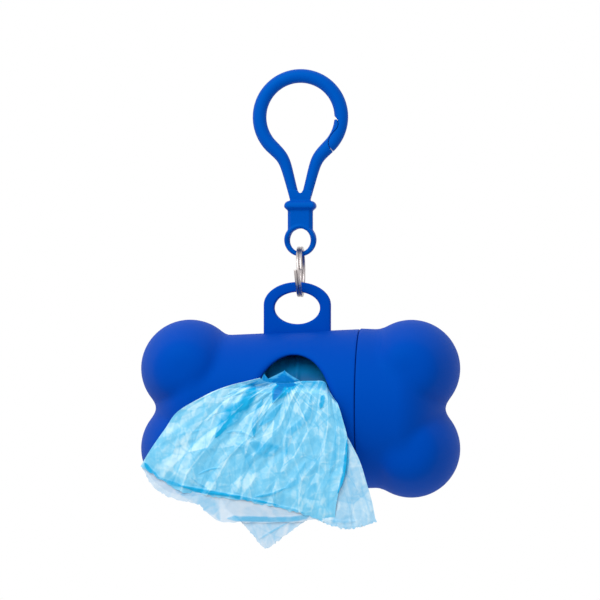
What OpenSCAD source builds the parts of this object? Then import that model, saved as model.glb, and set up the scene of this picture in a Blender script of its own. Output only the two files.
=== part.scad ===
// Bone-shaped dispenser for a roll of waste bags. It hangs by a split ring from a bulb-shaped clip.
// X runs along the barrel, -Y is the side that the bags come out of, and Z is up.
// The origin is the centre of the clip's round bow. All sizes are in millimetres.

/* [Case] */
// Overall length of the case over its knobs
case_len = 84.8; // [80:0.5:92]
// Outer radius of the barrel where its two halves meet
barrel_r = 21; // [19:0.1:23]
// How far the barrel's round ends stay inside the knobs
barrel_inset = 4.5; // [3:0.1:6]
// Length of the barrel's round ends
dome_len = 11.4; // [10:0.1:13]
// Draft of the outer skin on each side of the joint, in degrees
barrel_draft = 2.55; // [1:0.05:3]
// Distance from the case's middle to the joint between its halves
joint_x = 15.8; // [10:0.2:20]
// How far the cap's lip stands proud of the body
cap_step = 0.2; // [0:0.05:0.5]
// Rounding of the two edges that meet at the joint
lip_round = 0.4; // [0.2:0.05:0.6]
// Gap between the two edges at the joint
joint_gap = 0.15; // [0.1:0.05:0.4]

/* [Knobs] */
// Radius of each knob, seen from the front
knob_r = 12.9; // [11:0.1:14]
// Height of the knobs' centres over and under the barrel's axis
knob_rise = 10.6; // [9:0.1:12]
// Thickness of the knobs across their flats
knob_depth = 37; // [33:0.5:39]
// Radius of the flat on each knob
knob_flat_r = 5.5; // [3:0.1:7]
// Softening of the edge of that flat
knob_edge = 3; // [1:0.1:4]
// Fillet between a knob and the barrel
knob_fillet = 1.2; // [0.5:0.1:3]
// Fillet between the two knobs of one end
waist_fillet = 4.2; // [2:0.1:6]

/* [Inside] */
// Wall of the barrel at its joint, over the mouth of the cavity
barrel_wall = 3.3; // [2.8:0.1:4]
// Draft of the cavity, in degrees
cavity_draft = 1; // [0.5:0.1:1.5]
// Wall left at each closed end of the case
end_wall = 1.8; // [1.6:0.1:3]
// Length of the neck that carries the cap
neck_len = 8; // [5:0.5:10]
// Wall of the neck
neck_wall = 1.5; // [1.2:0.1:1.8]
// Radial gap between the neck and the cap's socket
neck_gap = 0.25; // [0.15:0.05:0.4]
// Height of the bead that grips the socket
bead_h = 0.17; // [0.05:0.01:0.2]
// Gap between the bead and the socket when the cap is on
bead_gap = 0.06; // [0.03:0.01:0.12]

/* [Window] */
// Width of the opening that the bags come out of
window_w = 20.8; // [16:0.2:24]
// Height of that opening
window_h = 28.8; // [20:0.2:30]
// Place of that opening along the barrel
window_x = -0.4; // [-4:0.1:3]
// Width of the dished rim round the opening
rim_w = 1.8; // [0.8:0.1:2.5]
// Depth of the dished rim
rim_depth = 0.6; // [0.2:0.05:1]

/* [Tab] */
// Width of the hanging tab
tab_w = 17.8; // [16:0.1:22]
// Thickness of the hanging tab
tab_t = 3; // [2:0.1:4]
// Place of the hanging tab along the barrel
tab_x = -0.8; // [-3:0.1:3]
// Height of the tab's hole centre over the barrel's axis
tab_reach = 26.6; // [26.2:0.1:30]
// Width of the tab's oval hole
tab_hole_w = 12.2; // [10:0.1:13]
// Height of the tab's oval hole
tab_hole_h = 8.5; // [7:0.1:9]
// Bar left over the tab's hole
tab_bar = 2.65; // [2:0.05:3]
// Height of the tab's rounded crown
tab_crown = 6.1; // [4:0.1:8]

/* [Clip] */
// Radius of the bow's centre line
bow_r = 10.9; // [9:0.1:13]
// Thickness of the bow's round section
bow_d = 3.7; // [3:0.1:4.2]
// Thickness of the two arms where they meet
arm_root_d = 2.7; // [2.4:0.1:3.2]
// Distance between the two arms' centre lines at their roots
arm_root_gap = 4.2; // [3.8:0.1:5]
// Depth of the arms' roots under the bow's centre
root_drop = 19.4; // [18:0.1:23]
// Half width of the collar
collar_r = 4.2; // [3.8:0.1:5]
// Depth of the collar from front to back
collar_t = 5.4; // [4.4:0.1:7]
// Height of the collar
collar_h = 2.7; // [2:0.1:3.5]
// Depth of the collar's middle under the arms' roots
collar_drop = 4.25; // [3.8:0.05:5]
// Width of the shank under the collar
shank_w = 6.6; // [5:0.1:7.4]
// Thickness of the shank
shank_t = 3.6; // [2.8:0.1:4.2]
// Depth of the eye's centre under the collar's middle
eye_drop = 9.05; // [8.8:0.05:11]
// Outer radius of the eye
eye_r = 4.3; // [4.2:0.1:5]
// Width of the eye's hole
eye_hole_w = 5.5; // [5:0.1:6]
// Height of the eye's hole
eye_hole_h = 6.2; // [5.6:0.1:6.6]
// Thickness of the eye's bar from front to back
eye_t = 2; // [1.6:0.1:2.4]
// How far the top of the eye stands proud of the shank
eye_rise = 0.3; // [0.1:0.05:0.5]
// Gap of the S-shaped joint between the hook and the gate
seam_gap = 0.12; // [0.08:0.02:0.3]

/* [Split ring] */
// Outer diameter of the ring
ring_od = 13.4; // [12.8:0.1:16]
// Width of the wire along the ring's axis
wire_w = 0.76; // [0.6:0.02:0.9]
// Height of the wire, measured outward from the ring's axis
wire_h = 0.9; // [0.7:0.05:1.1]
// Space between the ring's two turns
turn_gap = 0.02; // [0.01:0.01:0.06]
// Play of the ring on the eye's bar, and of the tab on the ring
ring_play = 0.1; // [0.06:0.01:0.2]

/* [Bags] */
// Width of the roll of bags
roll_w = 58; // [50:1:62]
// Room left between the full roll and the mouth of the cavity, in radius
roll_room = 2.7; // [2.1:0.1:5]
// Outer radius of the roll's paper core
core_r = 7; // [5:0.1:9]
// Wall of the paper core
core_wall = 1; // [0.6:0.1:1.5]
// Gap between the roll and the lowest line of the cavity
roll_gap = 0.3; // [0.2:0.05:1]
// Gap between the roll and the film that lies over it
web_gap = 0.3; // [0.2:0.05:0.6]
// Width of that film where it goes to the opening
web_w = 17; // [12:0.5:17.5]
// Thickness of that film, with its folds
web_t = 0.6; // [0.4:0.1:1]
// Width of the loose bag between its two lower corners
bag_w = 60.6; // [50:0.2:70]
// Depth of the loose bag's lowest tip under the barrel's axis
bag_drop = 35.5; // [30:0.5:45]
// Thickness of the loose bag's crumpled front panel
bag_t = 2.4; // [1.6:0.1:3.5]
// Thickness of its rear panel
rear_t = 1.4; // [1:0.1:2]
// Gap between the loose bag and the case
bag_gap = 1; // [0.6:0.1:2]

/* [Hidden] */

plastic_blue = [0.0, 0.30, 0.72];
cap_blue = [0.02, 0.33, 0.76];
steel = [0.78, 0.76, 0.74];
film_blue = [0.60, 0.85, 0.97];
roll_blue = [0.12, 0.50, 0.72];
kraft = [0.72, 0.58, 0.42];

// --- Heights, worked out down the chain from the bow to the barrel
collar_z = -root_drop - collar_drop;
eye_z = collar_z - eye_drop;
eye_bar = eye_r - eye_hole_h / 2;
eye_bar_swing = max(eye_r - eye_hole_w / 2, eye_t) / 2;
eye_bar_z = eye_z - eye_hole_h / 2 - eye_bar / 2;
ring_r = ring_od / 2 - wire_h / 2;
turn_shift = (wire_w + turn_gap) / 2;
ring_z = eye_bar_z - (ring_r - wire_h / 2 - eye_bar_swing - ring_play);
wire_low_z = ring_z - ring_r;
// The two turns side by side are wider than high, so the tab needs that room to tilt on them
tilt_room = turn_shift + wire_w / 2 + ring_play;
tab_hole_top = wire_low_z + tilt_room;
case_z = tab_hole_top - tab_hole_h / 2 - tab_reach;

// --- Shape of the case, in the case's own frame with the barrel's axis as X
knob_x = case_len / 2 - knob_r;
barrel_end = case_len / 2 - barrel_inset;
dome_x = barrel_end - dome_len;
draft_slope = tan(barrel_draft);
cavity_slope = tan(cavity_draft);
cavity_mouth = joint_x + neck_len;
cavity_r = barrel_r - barrel_wall;
roll_r = cavity_r - roll_room;
neck_r = cavity_r + neck_wall;
socket_r = neck_r + max(neck_gap, bead_h + bead_gap);
side_arc_r = (pow(knob_r - knob_flat_r, 2) + pow(knob_depth / 2, 2)) / (2 * (knob_r - knob_flat_r));
end_ray_x = knob_x - 7.3;
skin_sides = 48;
end_rings = 14;
far = 60;

function soft_min(a, b, k) = let (h = max(k - abs(a - b), 0) / k) min(a, b) - h * h * k / 4;
function soft_max(a, b, k) = -soft_min(-a, -b, k);
function skin_r(x) = x < joint_x ? barrel_r - draft_slope * (joint_x - x)
                                 : barrel_r + cap_step - draft_slope * (x - joint_x);

// Distances to the barrel with its round ends, to one knob, and to the whole blended bone
function barrel_gap(p) =
    let (r = skin_r(p.x)) norm([max(abs(p.x) - dome_x, 0) * r / dome_len, p.y, p.z]) - r;
function knob_gap(p, up) =
    let (r = norm([abs(p.x) - knob_x, p.z - up * knob_rise]),
         side = norm([r + side_arc_r - knob_r, p.y]) - side_arc_r)
    soft_max(side, abs(p.y) - knob_depth / 2, knob_edge);
function bone_gap(p) =
    soft_min(barrel_gap(p), soft_min(knob_gap(p, 1), knob_gap(p, -1), waist_fillet), knob_fillet);

// Length of a ray from a point inside the bone to its skin, found by halving
function ray_len(from, way, low = 4, high = 44, steps = 18) =
    steps == 0 ? (low + high) / 2
    : let (mid = (low + high) / 2)
      bone_gap(from + mid * way) < 0 ? ray_len(from, way, mid, high, steps - 1)
                                     : ray_len(from, way, low, mid, steps - 1);
function around(i) = [0, cos(360 * i / skin_sides), sin(360 * i / skin_sides)];

// A ring of skin points across the barrel at x, drawn in by `cut` where an edge is rounded
function skin_ring(x, cut = 0) =
    [for (i = [0 : skin_sides - 1]) let (w = around(i)) [x, 0, 0] + (ray_len([x, 0, 0], w) - cut) * w];
// A ring of skin points on rays that fan out from the axis towards one end
function end_ring(side, t) =
    [for (i = [0 : skin_sides - 1])
        let (c = [side * end_ray_x, 0, 0], w = sin(t) * around(i) + [side * cos(t), 0, 0])
        c + ray_len(c, w) * w];

// A closed solid through rings of equally many points, with a fan of triangles at both ends
module ringed(rings, tip_a, tip_b) {
    n = len(rings[0]);
    m = len(rings);
    points = concat([tip_a], [for (r = rings) for (p = r) p], [tip_b]);
    function at(j, i) = 1 + j * n + (i % n);
    faces = concat(
        [for (i = [0 : n - 1]) [0, at(0, i), at(0, i + 1)]],
        [for (j = [0 : m - 2], i = [0 : n - 1]) [at(j, i), at(j + 1, i + 1), at(j, i + 1)]],
        [for (j = [0 : m - 2], i = [0 : n - 1]) [at(j, i), at(j + 1, i), at(j + 1, i + 1)]],
        [for (i = [0 : n - 1]) [1 + m * n, at(m - 1, i + 1), at(m - 1, i)]]);
    polyhedron(points, faces, convexity = 6);
}

// One half of the bone, solid, from the joint to its closed end
module half_bone(side, start, stations) {
    reach = side * end_ray_x - start;
    edge = [for (k = [0 : 3]) let (a = 30 * k) [lip_round * (1 - cos(a)), lip_round * (1 - sin(a))]];
    rings = concat(
        [for (e = edge) skin_ring(start + side * e.x, e.y)],
        [for (k = [1 : stations]) skin_ring(start + reach * k / stations)],
        [for (k = [1 : end_rings]) end_ring(side, 90 - 90 * k / (end_rings + 1))]);
    ordered = side > 0 ? rings : [for (r = rings) [for (i = [len(r) : -1 : 1]) r[i % len(r)]]];
    c = [side * end_ray_x, 0, 0];
    ringed(ordered, [start, 0, 0], c + [side * ray_len(c, [side, 0, 0]), 0, 0]);
}

// A revolve about the X axis
module about_x() { rotate([0, 90, 0]) rotate_extrude($fn = 96) children(); }

// The hollow inside: a drafted bore from `mouth`, and a domed floor that follows the barrel's end
function cavity_r_at(side, x) =
    let (bore = cavity_r - cavity_slope * (side > 0 ? x - cavity_mouth : x + cavity_mouth),
         past = max(x - dome_x, 0) / (dome_len - end_wall))
    bore * sqrt(max(1 - past * past, 0));
module cavity(side, mouth) {
    floor_x = barrel_end - end_wall;
    curve = [for (a = [0 : 10 : 80]) let (x = dome_x + (dome_len - end_wall) * sin(a)) [cavity_r_at(side, x), x]];
    mirror([side > 0 ? 0 : 1, 0, 0])
    about_x() polygon(concat([[0, side * mouth], [cavity_r, side * mouth]], curve, [[0, floor_x]]));
}

// An oval bar along Y, as wide and high as given
module oval_bar(w, h, y0, y1) {
    translate([0, y1, 0]) rotate([90, 0, 0]) linear_extrude(height = y1 - y0)
    polygon([for (i = [0 : 59]) [w / 2 * cos(6 * i), h / 2 * sin(6 * i)]]);
}

module tab() {
    crown_z = tab_reach + tab_hole_h / 2 + tab_bar;
    outline = concat(
        [[-tab_w / 2, cavity_r + 1], [tab_w / 2, cavity_r + 1]],
        [for (a = [0 : 7.5 : 180]) [tab_w / 2 * cos(a), crown_z - tab_crown + tab_crown * sin(a)]]);
    translate([tab_x, 0, 0]) difference() {
        translate([0, tab_t / 2, 0]) rotate([90, 0, 0]) linear_extrude(height = tab_t) polygon(outline);
        translate([0, 0, tab_reach]) oval_bar(tab_hole_w, tab_hole_h, -tab_t, tab_t);
    }
}

// The sunken rim round the opening, cut down to a slightly smaller barrel
module window_rim() {
    translate([window_x, 0, 0]) intersection() {
        oval_bar(window_w + 2 * rim_w, window_h + 2 * rim_w, -barrel_r - 1, 0);
        difference() {
            translate([-far / 2, -far, -far / 2]) cube([far, far, far]);
            rotate([0, 90, 0]) cylinder(r = skin_r(window_x) - rim_depth, h = far, center = true, $fn = 96);
        }
    }
}

module neck() {
    about_x() {
        translate([0, joint_x - 2]) square([neck_r, neck_len + 2]);
        translate([neck_r - bead_h, joint_x + neck_len - 2.5]) circle(r = 2 * bead_h, $fn = 24);
    }
}

module case_body() {
    color(plastic_blue) translate([0, 0, case_z]) difference() {
        union() {
            half_bone(-1, joint_x, 9);
            neck();
            tab();
        }
        cavity(-1, cavity_mouth + 1);
        translate([window_x, 0, 0]) oval_bar(window_w, window_h, -barrel_r - 4, -cavity_r / 2);
        window_rim();
    }
}

module case_cap() {
    start = joint_x + joint_gap;
    socket_len = neck_len + joint_gap + neck_gap;
    color(cap_blue) translate([0, 0, case_z]) difference() {
        half_bone(1, start, 2);
        about_x() translate([0, joint_x]) square([socket_r, socket_len]);
        cavity(1, joint_x + socket_len - 0.5);
    }
}

// --- Clip: an arm's centre line is part of the round bow and then a curve down to its root
bow_end = 226;
root_lean = 15;
root = [arm_root_gap / 2, -root_drop];
function polar(r, a) = [r * cos(a), r * sin(a)];
function bezier(p, t) = pow(1 - t, 3) * p[0] + 3 * t * pow(1 - t, 2) * p[1]
                      + 3 * t * t * (1 - t) * p[2] + pow(t, 3) * p[3];
bow_lead = root_drop * 0.26;
root_lead = root_drop * 0.44;
function left_leg(n) =
    let (start = polar(bow_r, bow_end), left_root = [-root.x, root.y],
         p = [start, start + bow_lead * [cos(bow_end - 270), sin(bow_end - 270)],
              left_root + root_lead * [-sin(root_lean), cos(root_lean)], left_root])
    [for (i = [0 : n]) bezier(p, i / n)];
function leg_d(i, n) = bow_d + (arm_root_d - bow_d) * i / n;
function flip(list) = [for (i = [len(list) - 1 : -1 : 0]) list[i]];

// A bar of round section along a flat path in the XZ plane; d gives its thickness at each point
module bar_along(path, d, sides = 14) {
    last = len(path) - 1;
    function ahead(i) = let (v = path[min(i + 1, last)] - path[max(i - 1, 0)]) v / norm(v);
    rings = [for (i = [0 : last])
        let (a = ahead(i), across = [a.y, 0, -a.x], c = [path[i].x, 0, path[i].y])
        [for (k = [0 : sides - 1])
            let (t = 360 * k / sides) c + d[i] / 2 * (cos(t) * across + sin(t) * [0, 1, 0])]];
    ringed(rings, [path[0].x, 0, path[0].y], [path[last].x, 0, path[last].y]);
}

// The S-shaped joint, as [angle on the bow, shift from the bow's centre line in bow thicknesses].
// The gate stops at the third of its points, so that its tip can swing in past the hook
seam_knots = [[4, -0.62], [0, -0.44], [-4, -0.27], [-8.5, -0.16], [-13.5, -0.11], [-19, -0.16],
              [-24.5, -0.27], [-31, -0.34], [-37.5, -0.30], [-42.5, -0.15], [-45.6, 0.1], [-46.4, 0.45]];
function seam_point(k) = polar(bow_r + bow_d * k[1], k[0]);
function catmull(a, b, c, d, t) = b + 0.5 * t * ((c - a) + t * ((2 * a - 5 * b + 4 * c - d)
                                + t * (3 * (b - c) + d - a)));
function smooth(list, n) = let (last = len(list) - 1) concat(
    [for (i = [0 : last - 1], k = [0 : n - 1])
        catmull(list[max(i - 1, 0)], list[i], list[i + 1], list[min(i + 2, last)], k / n)], [list[last]]);
// Everything on the gate's side of that joint; `inset` draws it back from the hook
module gate_side(inset, first = 0) {
    line = smooth([for (i = [first : len(seam_knots) - 1]) seam_point(seam_knots[i])], 3);
    last = len(line) - 1;
    function aside(i) = let (v = line[min(i + 1, last)] - line[max(i - 1, 0)]) [v.y, -v.x] / norm(v);
    seam = [for (i = [0 : last]) line[i] + inset * aside(i)];
    tip = seam_knots[first];
    beyond = [[-47, 1], [-60, 1.6], [-80, 0.8], [-80, -1.6], [-30, -1.4], [tip.x - first, tip.y - 0.6]];
    rotate([90, 0, 0]) linear_extrude(height = 4 * bow_d, center = true)
    polygon(concat(seam, [for (k = beyond) seam_point(k)]));
}

// Outline of the collar, seen along a flat side: rounded on top and chamfered below
function collar_outline(half) =
    let (h = collar_h / 2,
         edge = [[half - 0.75 * h, -h], [half - 0.04, -0.3 * h], [half, 0], [half - 0.06, 0.3 * h],
                 [half - 0.24 * h, 0.65 * h], [half - 0.55 * h, 0.9 * h], [half - 0.9 * h, h]])
    concat(edge, [for (p = flip(edge)) [-p.x, p.y]]);
module collar() {
    translate([0, 0, collar_z]) intersection() {
        rotate([90, 0, 0]) linear_extrude(height = 3 * collar_r, center = true) polygon(collar_outline(collar_r));
        rotate([90, 0, 90]) linear_extrude(height = 3 * collar_r, center = true)
        polygon(collar_outline(collar_t / 2));
        cylinder(r = 1.08 * collar_r, h = 2 * collar_h, center = true, $fn = 96);
    }
}

// The web that joins both arms over the collar, with a round notch between them
module arm_web() {
    half_top = root.x + 0.5 * arm_root_d;
    half_low = half_top - tan(root_lean) * (root.y - collar_z);
    notch_r = root.x - 0.5 * arm_root_d - 0.1;
    notch_z = root.y - 0.3 * arm_root_d + notch_r;
    top_z = root.y - 0.05 * arm_root_d;
    translate([0, arm_root_d * 0.48, 0]) rotate([90, 0, 0]) linear_extrude(height = arm_root_d * 0.96)
    polygon(concat([[half_top, top_z], [half_low, collar_z], [-half_low, collar_z], [-half_top, top_z],
                    [-notch_r, top_z]],
                   [for (a = [180 : 15 : 360]) [notch_r * cos(a), notch_z + notch_r * sin(a)]],
                   [[notch_r, top_z]]));
}

module clip_hook() {
    foot = [-root.x, root.y] + (root.y - collar_z) * [tan(root_lean), -1];
    leg = flip(left_leg(12));
    bow = [for (i = [1 : 34]) polar(bow_r, bow_end - (bow_end + 52) * i / 34)];
    thick = concat([arm_root_d], [for (i = [12 : -1 : 0]) leg_d(i, 12)], [for (p = bow) bow_d]);
    color(plastic_blue) {
        difference() {
            bar_along(concat([foot], leg, bow), thick);
            gate_side(0);
        }
        difference() {
            union() {
                arm_web();
                collar();
                shank();
                eye_ring();
            }
            eye_hole();
            translate([root.x, 0, root.y]) rotate([90, 0, 0])
            cylinder(d = arm_root_d + 2 * seam_gap, h = 2 * arm_root_d, center = true, $fn = 48);
        }
    }
}

module shank() {
    chamfer = shank_t / 4;
    x = shank_w / 2;
    y = shank_t / 2;
    translate([0, 0, eye_z + 0.6 * eye_r]) linear_extrude(height = collar_z - eye_z - 0.6 * eye_r)
    polygon([[-x, chamfer - y], [chamfer - x, -y], [x - chamfer, -y], [x, chamfer - y],
             [x, y - chamfer], [x - chamfer, y], [chamfer - x, y], [-x, y - chamfer]]);
}

// The eye: a thin ring below, which grows thicker towards the top and stands proud of the shank there
module eye_ring() {
    bar = eye_r - eye_hole_w / 2;
    proud = shank_t / 2 + eye_rise;
    translate([0, 0, eye_z]) {
        rotate([90, 0, 0]) rotate_extrude($fn = 72) intersection() {
            translate([eye_r - eye_bar / 2, 0]) circle(d = max(bar, eye_t), $fn = 40);
            translate([eye_r - bar, -eye_t / 2]) square([bar, eye_t]);
        }
        intersection() {
            rotate([90, 0, 0]) rotate_extrude($fn = 72) {
                translate([eye_r - bar, bar / 2 - proud]) square([bar, 2 * proud - bar]);
                for (side = [-1, 1])
                    translate([eye_r - bar / 2, side * (proud - bar / 2)]) circle(d = bar, $fn = 32);
            }
            rotate([90, 0, 90]) linear_extrude(height = 3 * eye_r, center = true)
            polygon([[-proud, 2 * eye_r], [-proud, 0.5 * eye_r], [-eye_t / 3, -0.5 * eye_r],
                     [eye_t / 3, -0.5 * eye_r], [proud, 0.5 * eye_r], [proud, 2 * eye_r]]);
        }
    }
}

module eye_hole() {
    for (up = [-1, 1])
        translate([0, 0, eye_z + up * (eye_hole_h - eye_hole_w) / 2]) rotate([90, 0, 0])
        cylinder(d = eye_hole_w, h = 4 * shank_t, center = true, $fn = 64);
    translate([-eye_hole_w / 2, -2 * shank_t, eye_z - (eye_hole_h - eye_hole_w) / 2])
    cube([eye_hole_w, 4 * shank_t, eye_hole_h - eye_hole_w]);
}

module clip_gate() {
    leg = [for (p = flip(left_leg(12))) [-p.x, p.y]];
    bow = [for (i = [1 : 11]) polar(bow_r, 180 - bow_end + (bow_end - 176) * i / 11)];
    thick = concat([for (i = [12 : -1 : 0]) leg_d(i, 12)], [for (p = bow) bow_d]);
    color(plastic_blue) {
        intersection() {
            bar_along(concat(leg, bow), thick);
            union() {
                gate_side(seam_gap, 2);
                translate([0, -far / 2, -far - root_drop / 2]) cube([far, far, far]);
            }
        }
        translate([root.x, 0, root.y]) rotate([90, 0, 0])
        cylinder(d = arm_root_d, h = arm_root_d, center = true, $fn = 48);
    }
}

// --- Split ring: two turns of flattened wire that change places opposite their ends
ring_turns = 2;
function ease(t) = let (c = min(max(t, 0), 1)) c * c * (3 - 2 * c);
function wire_x(a) = turn_shift * (-1 + 2 * ease((a - 300) / 120) - (1 - ease((a + 60) / 120)) * 2
                     + 2 * ease((a - 660) / 120));
module split_ring() {
    sides = 8;
    steps = 30 * ring_turns;
    start = 176;
    rings = [for (s = [0 : steps])
        let (a = 360 * ring_turns * s / steps, t = start + a, out = [0, cos(t), sin(t)])
        [for (k = [0 : sides - 1])
            let (f = 360 * (k + 0.5) / sides, grow = 1 / cos(180 / sides))
            [wire_x(a), 0, ring_z] + ring_r * out
            + wire_w / 2 * grow * cos(f) * [1, 0, 0] * 0.96 + wire_h / 2 * grow * sin(f) * 0.96 * out]];
    tip_a = [wire_x(0), 0, ring_z] + ring_r * [0, cos(start), sin(start)];
    tip_b = [wire_x(360 * ring_turns), 0, ring_z] + ring_r * [0, cos(start), sin(start)];
    color(steel) ringed(rings, tip_a, tip_b);
}

// --- Bags: the roll lies on the cavity's lowest line
roll_end_x = roll_w / 2;
roll_z = case_z - (cavity_r_at(-1, roll_end_x) - roll_r - roll_gap);
module tube_x(r_out, r_in, w) {
    rotate([0, 90, 0]) difference() {
        cylinder(r = r_out, h = w, center = true, $fn = 96);
        cylinder(r = r_in, h = 2 * w, center = true, $fn = 96);
    }
}
module roll_core() { color(kraft) translate([0, 0, roll_z]) tube_x(core_r, core_r - core_wall, roll_w); }
module bag_roll() { color(roll_blue) translate([0, 0, roll_z]) tube_x(roll_r, core_r, roll_w); }

// The film that lies over the roll and ends at the torn-off line, just inside the opening
web_from = 8;
web_to = 60;
module film_web() {
    r = roll_r + web_gap;
    color(film_blue) translate([window_x - web_w / 2, 0, roll_z]) rotate([0, 90, 0])
    rotate([0, 0, 180 + web_from]) mirror([0, 0, 0])
    rotate_extrude(angle = web_to - web_from, $fn = 96)
    translate([r, 0]) square([web_t, web_w]);
}

// The loose bag: panels drawn over a few outline points. A point is [share of the bag's width,
// share of its drop] from the barrel's axis, and the throat's corners lie just inside the opening
throat = window_w * 0.38;
function bag_line(list) = [for (p = list) [p.x * bag_w, p.y * bag_drop]];
bag_left = concat([[-throat, 0.19 * bag_drop]],
    bag_line([[-0.163, 0.239], [-0.267, 0.189], [-0.409, 0.079], [-0.515, -0.054], [-0.584, -0.237],
              [-0.647, -0.397]]));
bag_right = concat([[throat, 0.19 * bag_drop]],
    bag_line([[0.162, 0.146], [0.196, 0.054], [0.228, -0.16], [0.289, -0.361], [0.32, -0.54],
              [0.353, -0.79]]));
bag_hem = bag_line([[-0.647, -0.397], [-0.551, -0.507], [-0.353, -0.606], [-0.122, -0.646], [0.068, -0.743],
                    [0.21, -0.785], [0.353, -0.79]]);
rear_hem = bag_line([[-0.579, -0.47], [-0.46, -0.62], [-0.297, -0.8], [-0.2, -0.808], [-0.112, -1],
                     [-0.063, -0.958], [0.064, -0.777], [0.195, -0.84], [0.32, -0.82]]);
function even(list, t) =
    let (last = len(list) - 1, s = min(max(t, 0), 1) * last, i = min(floor(s), last - 1))
    catmull(list[max(i - 1, 0)], list[i], list[i + 1], list[min(i + 2, last)], s - i);
// Blend of four edge curves into one patch: top and hem run left to right, the sides run down
function patch(top, hem, left, right, u, v) =
    (1 - v) * even(top, u) + v * even(hem, u) + (1 - u) * even(left, v) + u * even(right, v)
    - (1 - u) * (1 - v) * top[0] - u * (1 - v) * top[len(top) - 1]
    - (1 - u) * v * hem[0] - u * v * hem[len(hem) - 1];

// Distance in front of the barrel's axis at which the film's back lies, after it has left the opening
front_y = barrel_r + bag_gap;
function film_y(p, v) =
    let (out = ease(v / 0.17), inside = roll_r + 1)
    -(inside + (front_y - inside) * out) + bag_t * 0.67 * ease((-p.y - barrel_r) * 1.5 / barrel_r);

// A closed sheet between two copies of a patch, the front one moved forward by t
module panel(top, hem, left, right, t, v_from, setback, nu = 18, nv = 14) {
    grid = [for (j = [0 : nv], i = [0 : nu])
        let (v = v_from + (1 - v_from) * j / nv, p = patch(top, hem, left, right, i / nu, (v - v_from) / (1 - v_from)))
        [p.x, film_y(p, v) + setback, p.y]];
    back = len(grid);
    function at(j, i) = j * (nu + 1) + i;
    rim = concat([for (i = [0 : nu - 1]) at(0, i)], [for (j = [0 : nv - 1]) at(j, nu)],
                 [for (i = [nu : -1 : 1]) at(nv, i)], [for (j = [nv : -1 : 1]) at(j, 0)]);
    faces = concat(
        [for (j = [0 : nv - 1], i = [0 : nu - 1]) [at(j, i), at(j, i + 1), at(j + 1, i + 1)]],
        [for (j = [0 : nv - 1], i = [0 : nu - 1]) [at(j, i), at(j + 1, i + 1), at(j + 1, i)]],
        [for (j = [0 : nv - 1], i = [0 : nu - 1]) [back + at(j, i), back + at(j + 1, i + 1), back + at(j, i + 1)]],
        [for (j = [0 : nv - 1], i = [0 : nu - 1]) [back + at(j, i), back + at(j + 1, i), back + at(j + 1, i + 1)]],
        [for (k = [0 : len(rim) - 1]) let (a = rim[k], b = rim[(k + 1) % len(rim)]) [a, back + b, b]],
        [for (k = [0 : len(rim) - 1]) let (a = rim[k], b = rim[(k + 1) % len(rim)]) [a, back + a, back + b]]);
    polyhedron(concat([for (p = grid) p - [0, t, 0]], grid), faces, convexity = 8);
}

module loose_bag() {
    color(film_blue) translate([0, 0, case_z]) {
        panel([bag_left[0], [0, 0.195 * bag_drop], bag_right[0]], bag_hem, bag_left, bag_right, bag_t, 0, 0);
        panel(bag_line([[-0.53, -0.28], [-0.16, -0.31], [0.26, -0.34]]), rear_hem,
              bag_line([[-0.53, -0.28], [-0.563, -0.39], [-0.579, -0.47]]),
              bag_line([[0.26, -0.34], [0.3, -0.57], [0.32, -0.82]]), rear_t, 0.5, 0.8);
    }
}

case_body();
case_cap();
clip_hook();
clip_gate();
split_ring();
roll_core();
bag_roll();
film_web();
loose_bag();
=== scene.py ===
"""Visual model of a bone-shaped dispenser for waste bags, hung by a split ring from a plastic clip.

Shapes are worked out in millimetres in the part's own frame, and MeshPlan turns them into metres. X runs
along the barrel, -Y is the side that the bags come out of, Z is up, and the origin is the centre of the
clip's bow. The case is worked out about its barrel's axis and then lowered to its place.
"""

from __future__ import annotations

import logging
import math
from dataclasses import dataclass, field
from enum import Enum
from typing import Callable, Optional, Sequence

import bmesh
import bpy
import numpy as np
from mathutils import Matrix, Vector

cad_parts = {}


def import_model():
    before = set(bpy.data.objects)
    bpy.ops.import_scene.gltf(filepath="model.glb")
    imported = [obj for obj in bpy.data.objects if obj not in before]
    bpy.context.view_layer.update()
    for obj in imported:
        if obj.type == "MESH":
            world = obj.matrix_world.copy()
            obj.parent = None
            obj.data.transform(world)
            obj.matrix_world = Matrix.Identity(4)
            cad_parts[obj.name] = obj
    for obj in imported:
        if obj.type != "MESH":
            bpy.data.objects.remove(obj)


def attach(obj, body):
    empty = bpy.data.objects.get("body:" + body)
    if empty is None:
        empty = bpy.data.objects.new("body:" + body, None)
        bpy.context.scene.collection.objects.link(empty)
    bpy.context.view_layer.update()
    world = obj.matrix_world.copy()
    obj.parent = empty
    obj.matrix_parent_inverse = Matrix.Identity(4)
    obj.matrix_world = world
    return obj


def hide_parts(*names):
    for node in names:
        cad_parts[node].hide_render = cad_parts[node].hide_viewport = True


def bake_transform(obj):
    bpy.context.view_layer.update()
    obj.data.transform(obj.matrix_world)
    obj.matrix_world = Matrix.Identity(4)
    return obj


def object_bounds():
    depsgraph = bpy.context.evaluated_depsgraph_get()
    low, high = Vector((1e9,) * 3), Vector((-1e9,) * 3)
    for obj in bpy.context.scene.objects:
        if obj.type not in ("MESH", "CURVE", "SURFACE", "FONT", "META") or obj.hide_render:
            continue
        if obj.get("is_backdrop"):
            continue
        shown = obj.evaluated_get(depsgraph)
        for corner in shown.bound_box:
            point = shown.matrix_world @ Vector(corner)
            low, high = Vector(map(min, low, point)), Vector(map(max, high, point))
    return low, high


LOG = logging.getLogger("dispenser")
MM = 0.001
TINY = 1e-6
AXIS_Z = -77.33  # height of the barrel's axis

# The loose film fans out from this place, given as X and height over the barrel's axis. Its facets usually
# have these sizes, in millimetres.
FAN_X, FAN_Z = -2.0, 9.0
LONG_FACET, SHORT_FACET, FINE_FACET, STREAK = 4.6, 3.0, 1.8, 0.9

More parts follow.
